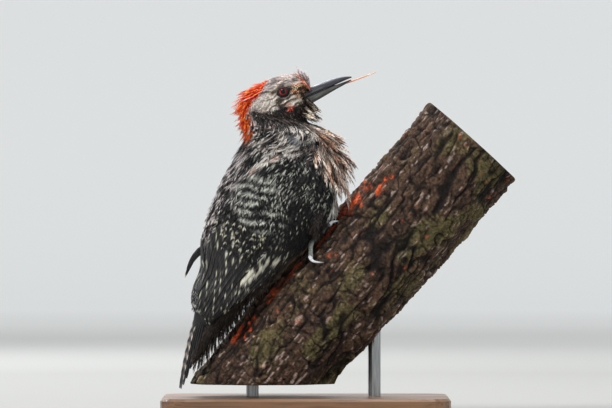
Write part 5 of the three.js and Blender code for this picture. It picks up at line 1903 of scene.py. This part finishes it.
def stand_finishes():
    """Polished wood for the base and brushed steel for the rods."""
    wood, tree, shader = material("base_wood")
    rings = noise_field(tree, 60, 6, (0.08, 1, 1), 0.55)
    pores = noise_field(tree, 900, 2, (0.03, 1, 1))
    tone = ramp(tree, rings, [(0.3, paint(70, 46, 32)), (0.5, paint(104, 72, 48)), (0.7, paint(132, 96, 66))])
    speck = ramp(tree, pores, [(0.35, 0.6), (0.5, 1.0)])
    tree.links.new(multiply(tree, tone, speck), shader.inputs["Base Color"])
    tree.links.new(ramp(tree, pores, [(0.3, 0.55), (0.7, 0.36)]), shader.inputs["Roughness"])
    shader.inputs["Coat Weight"].default_value = 0.2
    shader.inputs["Coat Roughness"].default_value = 0.25
    bump(tree, shader, pores, 0.5, 0.15 * MM)
    steel, tree, shader = material("rod_steel")
    brushed = noise_field(tree, 1500, 3, (1, 1, 0.03))
    tone = ramp(tree, brushed, [(0.3, paint(120, 122, 124)), (0.7, paint(178, 180, 182))])
    tree.links.new(tone, shader.inputs["Base Color"])
    tree.links.new(ramp(tree, brushed, [(0.3, 0.42), (0.7, 0.26)]), shader.inputs["Roughness"])
    shader.inputs["Metallic"].default_value = 1.0
    for node_name, finish in (("stand_base", wood), ("stand_rod_low", steel), ("stand_rod_high", steel)):
        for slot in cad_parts[node_name].material_slots:
            slot.material = finish


# ---- studio ----

FLOOR_RADIUS, WALL_RADIUS = 5.0, 8.0  # m: where the studio's flat floor ends, and where its curved wall stands
PAPER_TONES = ((1, 2, 3, 4, 6), (150, 180, 222, 242, 250))  # at each radius in m, darker under the lamps
LAMPS = (  # name, place in m, size in m, power in W, colour
    ("key", (-0.9, -1.5, 1.7), 0.5, 42, (1.0, 0.97, 0.93)),
    ("top", (0.3, 0.35, 1.9), 0.7, 30, (1.0, 0.98, 0.95)),
    ("fill", (1.7, -1.6, 0.7), 1.4, 4, (0.98, 0.98, 1.0)),
    ("back", (-0.6, 1.4, 1.1), 0.7, 20, (1.0, 1.0, 1.0)),
)
LAMPS_AIM = (0.0, -0.015, 0.13)  # m


def studio():
    """A round paper backdrop, even light from all round, and four soft lamps."""
    made, tree, shader = material("studio_paper")
    tone = node(tree, "ShaderNodeAttribute", attribute_name="tint")
    tree.links.new(tone.outputs["Color"], shader.inputs["Base Color"])
    shader.inputs["Roughness"].default_value = 0.95
    shader.inputs["Specular IOR Level"].default_value = 0.1
    bend = np.linspace(0, math.pi / 2, 13)
    flat = np.array([0.01, 0.5, 1, 2, 3, 4])
    curve = WALL_RADIUS - FLOOR_RADIUS
    radius = np.concatenate([flat, FLOOR_RADIUS + curve * np.sin(bend)])
    level = np.concatenate([0 * flat, curve * (1 - np.cos(bend))])
    turns = 96
    turn = np.linspace(0, 2 * math.pi, turns, endpoint=False)
    across, away = radius[:, None] * np.cos(turn), radius[:, None] * np.sin(turn)
    rings = np.stack([across, away, level[:, None] + 0 * turn], -1)
    shade = np.array([paint(tone, tone + 1, tone) for tone in np.interp(radius, *PAPER_TONES)])
    colours = np.repeat(shade, turns, axis=0)
    faces = split(grid_faces(len(radius), turns, True))
    mesh_object("studio_dish", rings.reshape(-1, 3) / MM, faces, colours, material=made)
    world = bpy.data.worlds.new("studio")
    bpy.context.scene.world = world
    world.use_nodes = True
    background = world.node_tree.nodes["Background"]
    background.inputs["Color"].default_value = (0.96, 0.98, 1.0, 1)
    background.inputs["Strength"].default_value = 0.75
    for name, place, size, power, colour in LAMPS:
        lamp = bpy.data.lights.new(name, "AREA")
        lamp.size, lamp.energy, lamp.color = size, power, colour
        thing = bpy.data.objects.new(name, lamp)
        thing.location = place
        way = Vector(np.array(LAMPS_AIM) - np.array(place))
        thing.rotation_euler = way.to_track_quat("-Z", "Y").to_euler()
        bpy.context.scene.collection.objects.link(thing)


CAMERA = {"distance": 4.0, "x": 0.00025, "z": 0.1351, "y": -0.02, "frame_width": 0.3898}  # m; it looks along +Y
SENSOR = 36  # mm


def camera():
    """A long lens, as in the photo, whose frame is frame_width wide at the bird."""
    lens = bpy.data.cameras.new("camera")
    lens.sensor_width = SENSOR
    lens.lens = SENSOR * CAMERA["distance"] / CAMERA["frame_width"]
    lens.clip_end = 100
    thing = bpy.data.objects.new("camera", lens)
    thing.location = (CAMERA["x"], CAMERA["y"] - CAMERA["distance"], CAMERA["z"])
    thing.rotation_euler = (math.pi / 2, 0, 0)
    bpy.context.scene.collection.objects.link(thing)
    bpy.context.scene.camera = thing


camera()
studio()
stand_finishes()
bpy.context.scene.view_settings.view_transform = "Standard"
RANDOM = np.random.default_rng(7)  # every random draw comes from it, in the order of the calls below
perch()
feet()
eyes()
bill_half("upper_bill", UPPER, "bill_upper")
bill_half("lower_bill", LOWER, "bill_lower")
tongue()
skin()
tail_quills(RANDOM)
wing_quills(RANDOM)
stray_feather(RANDOM)
belly_coat(RANDOM)
rump_coat(RANDOM)
thigh_coat(RANDOM)
covert_coats(RANDOM)
back_coat(RANDOM)
breast_coat(RANDOM)
neck_coat(RANDOM)
head_coat(RANDOM)
loose_strands(RANDOM)
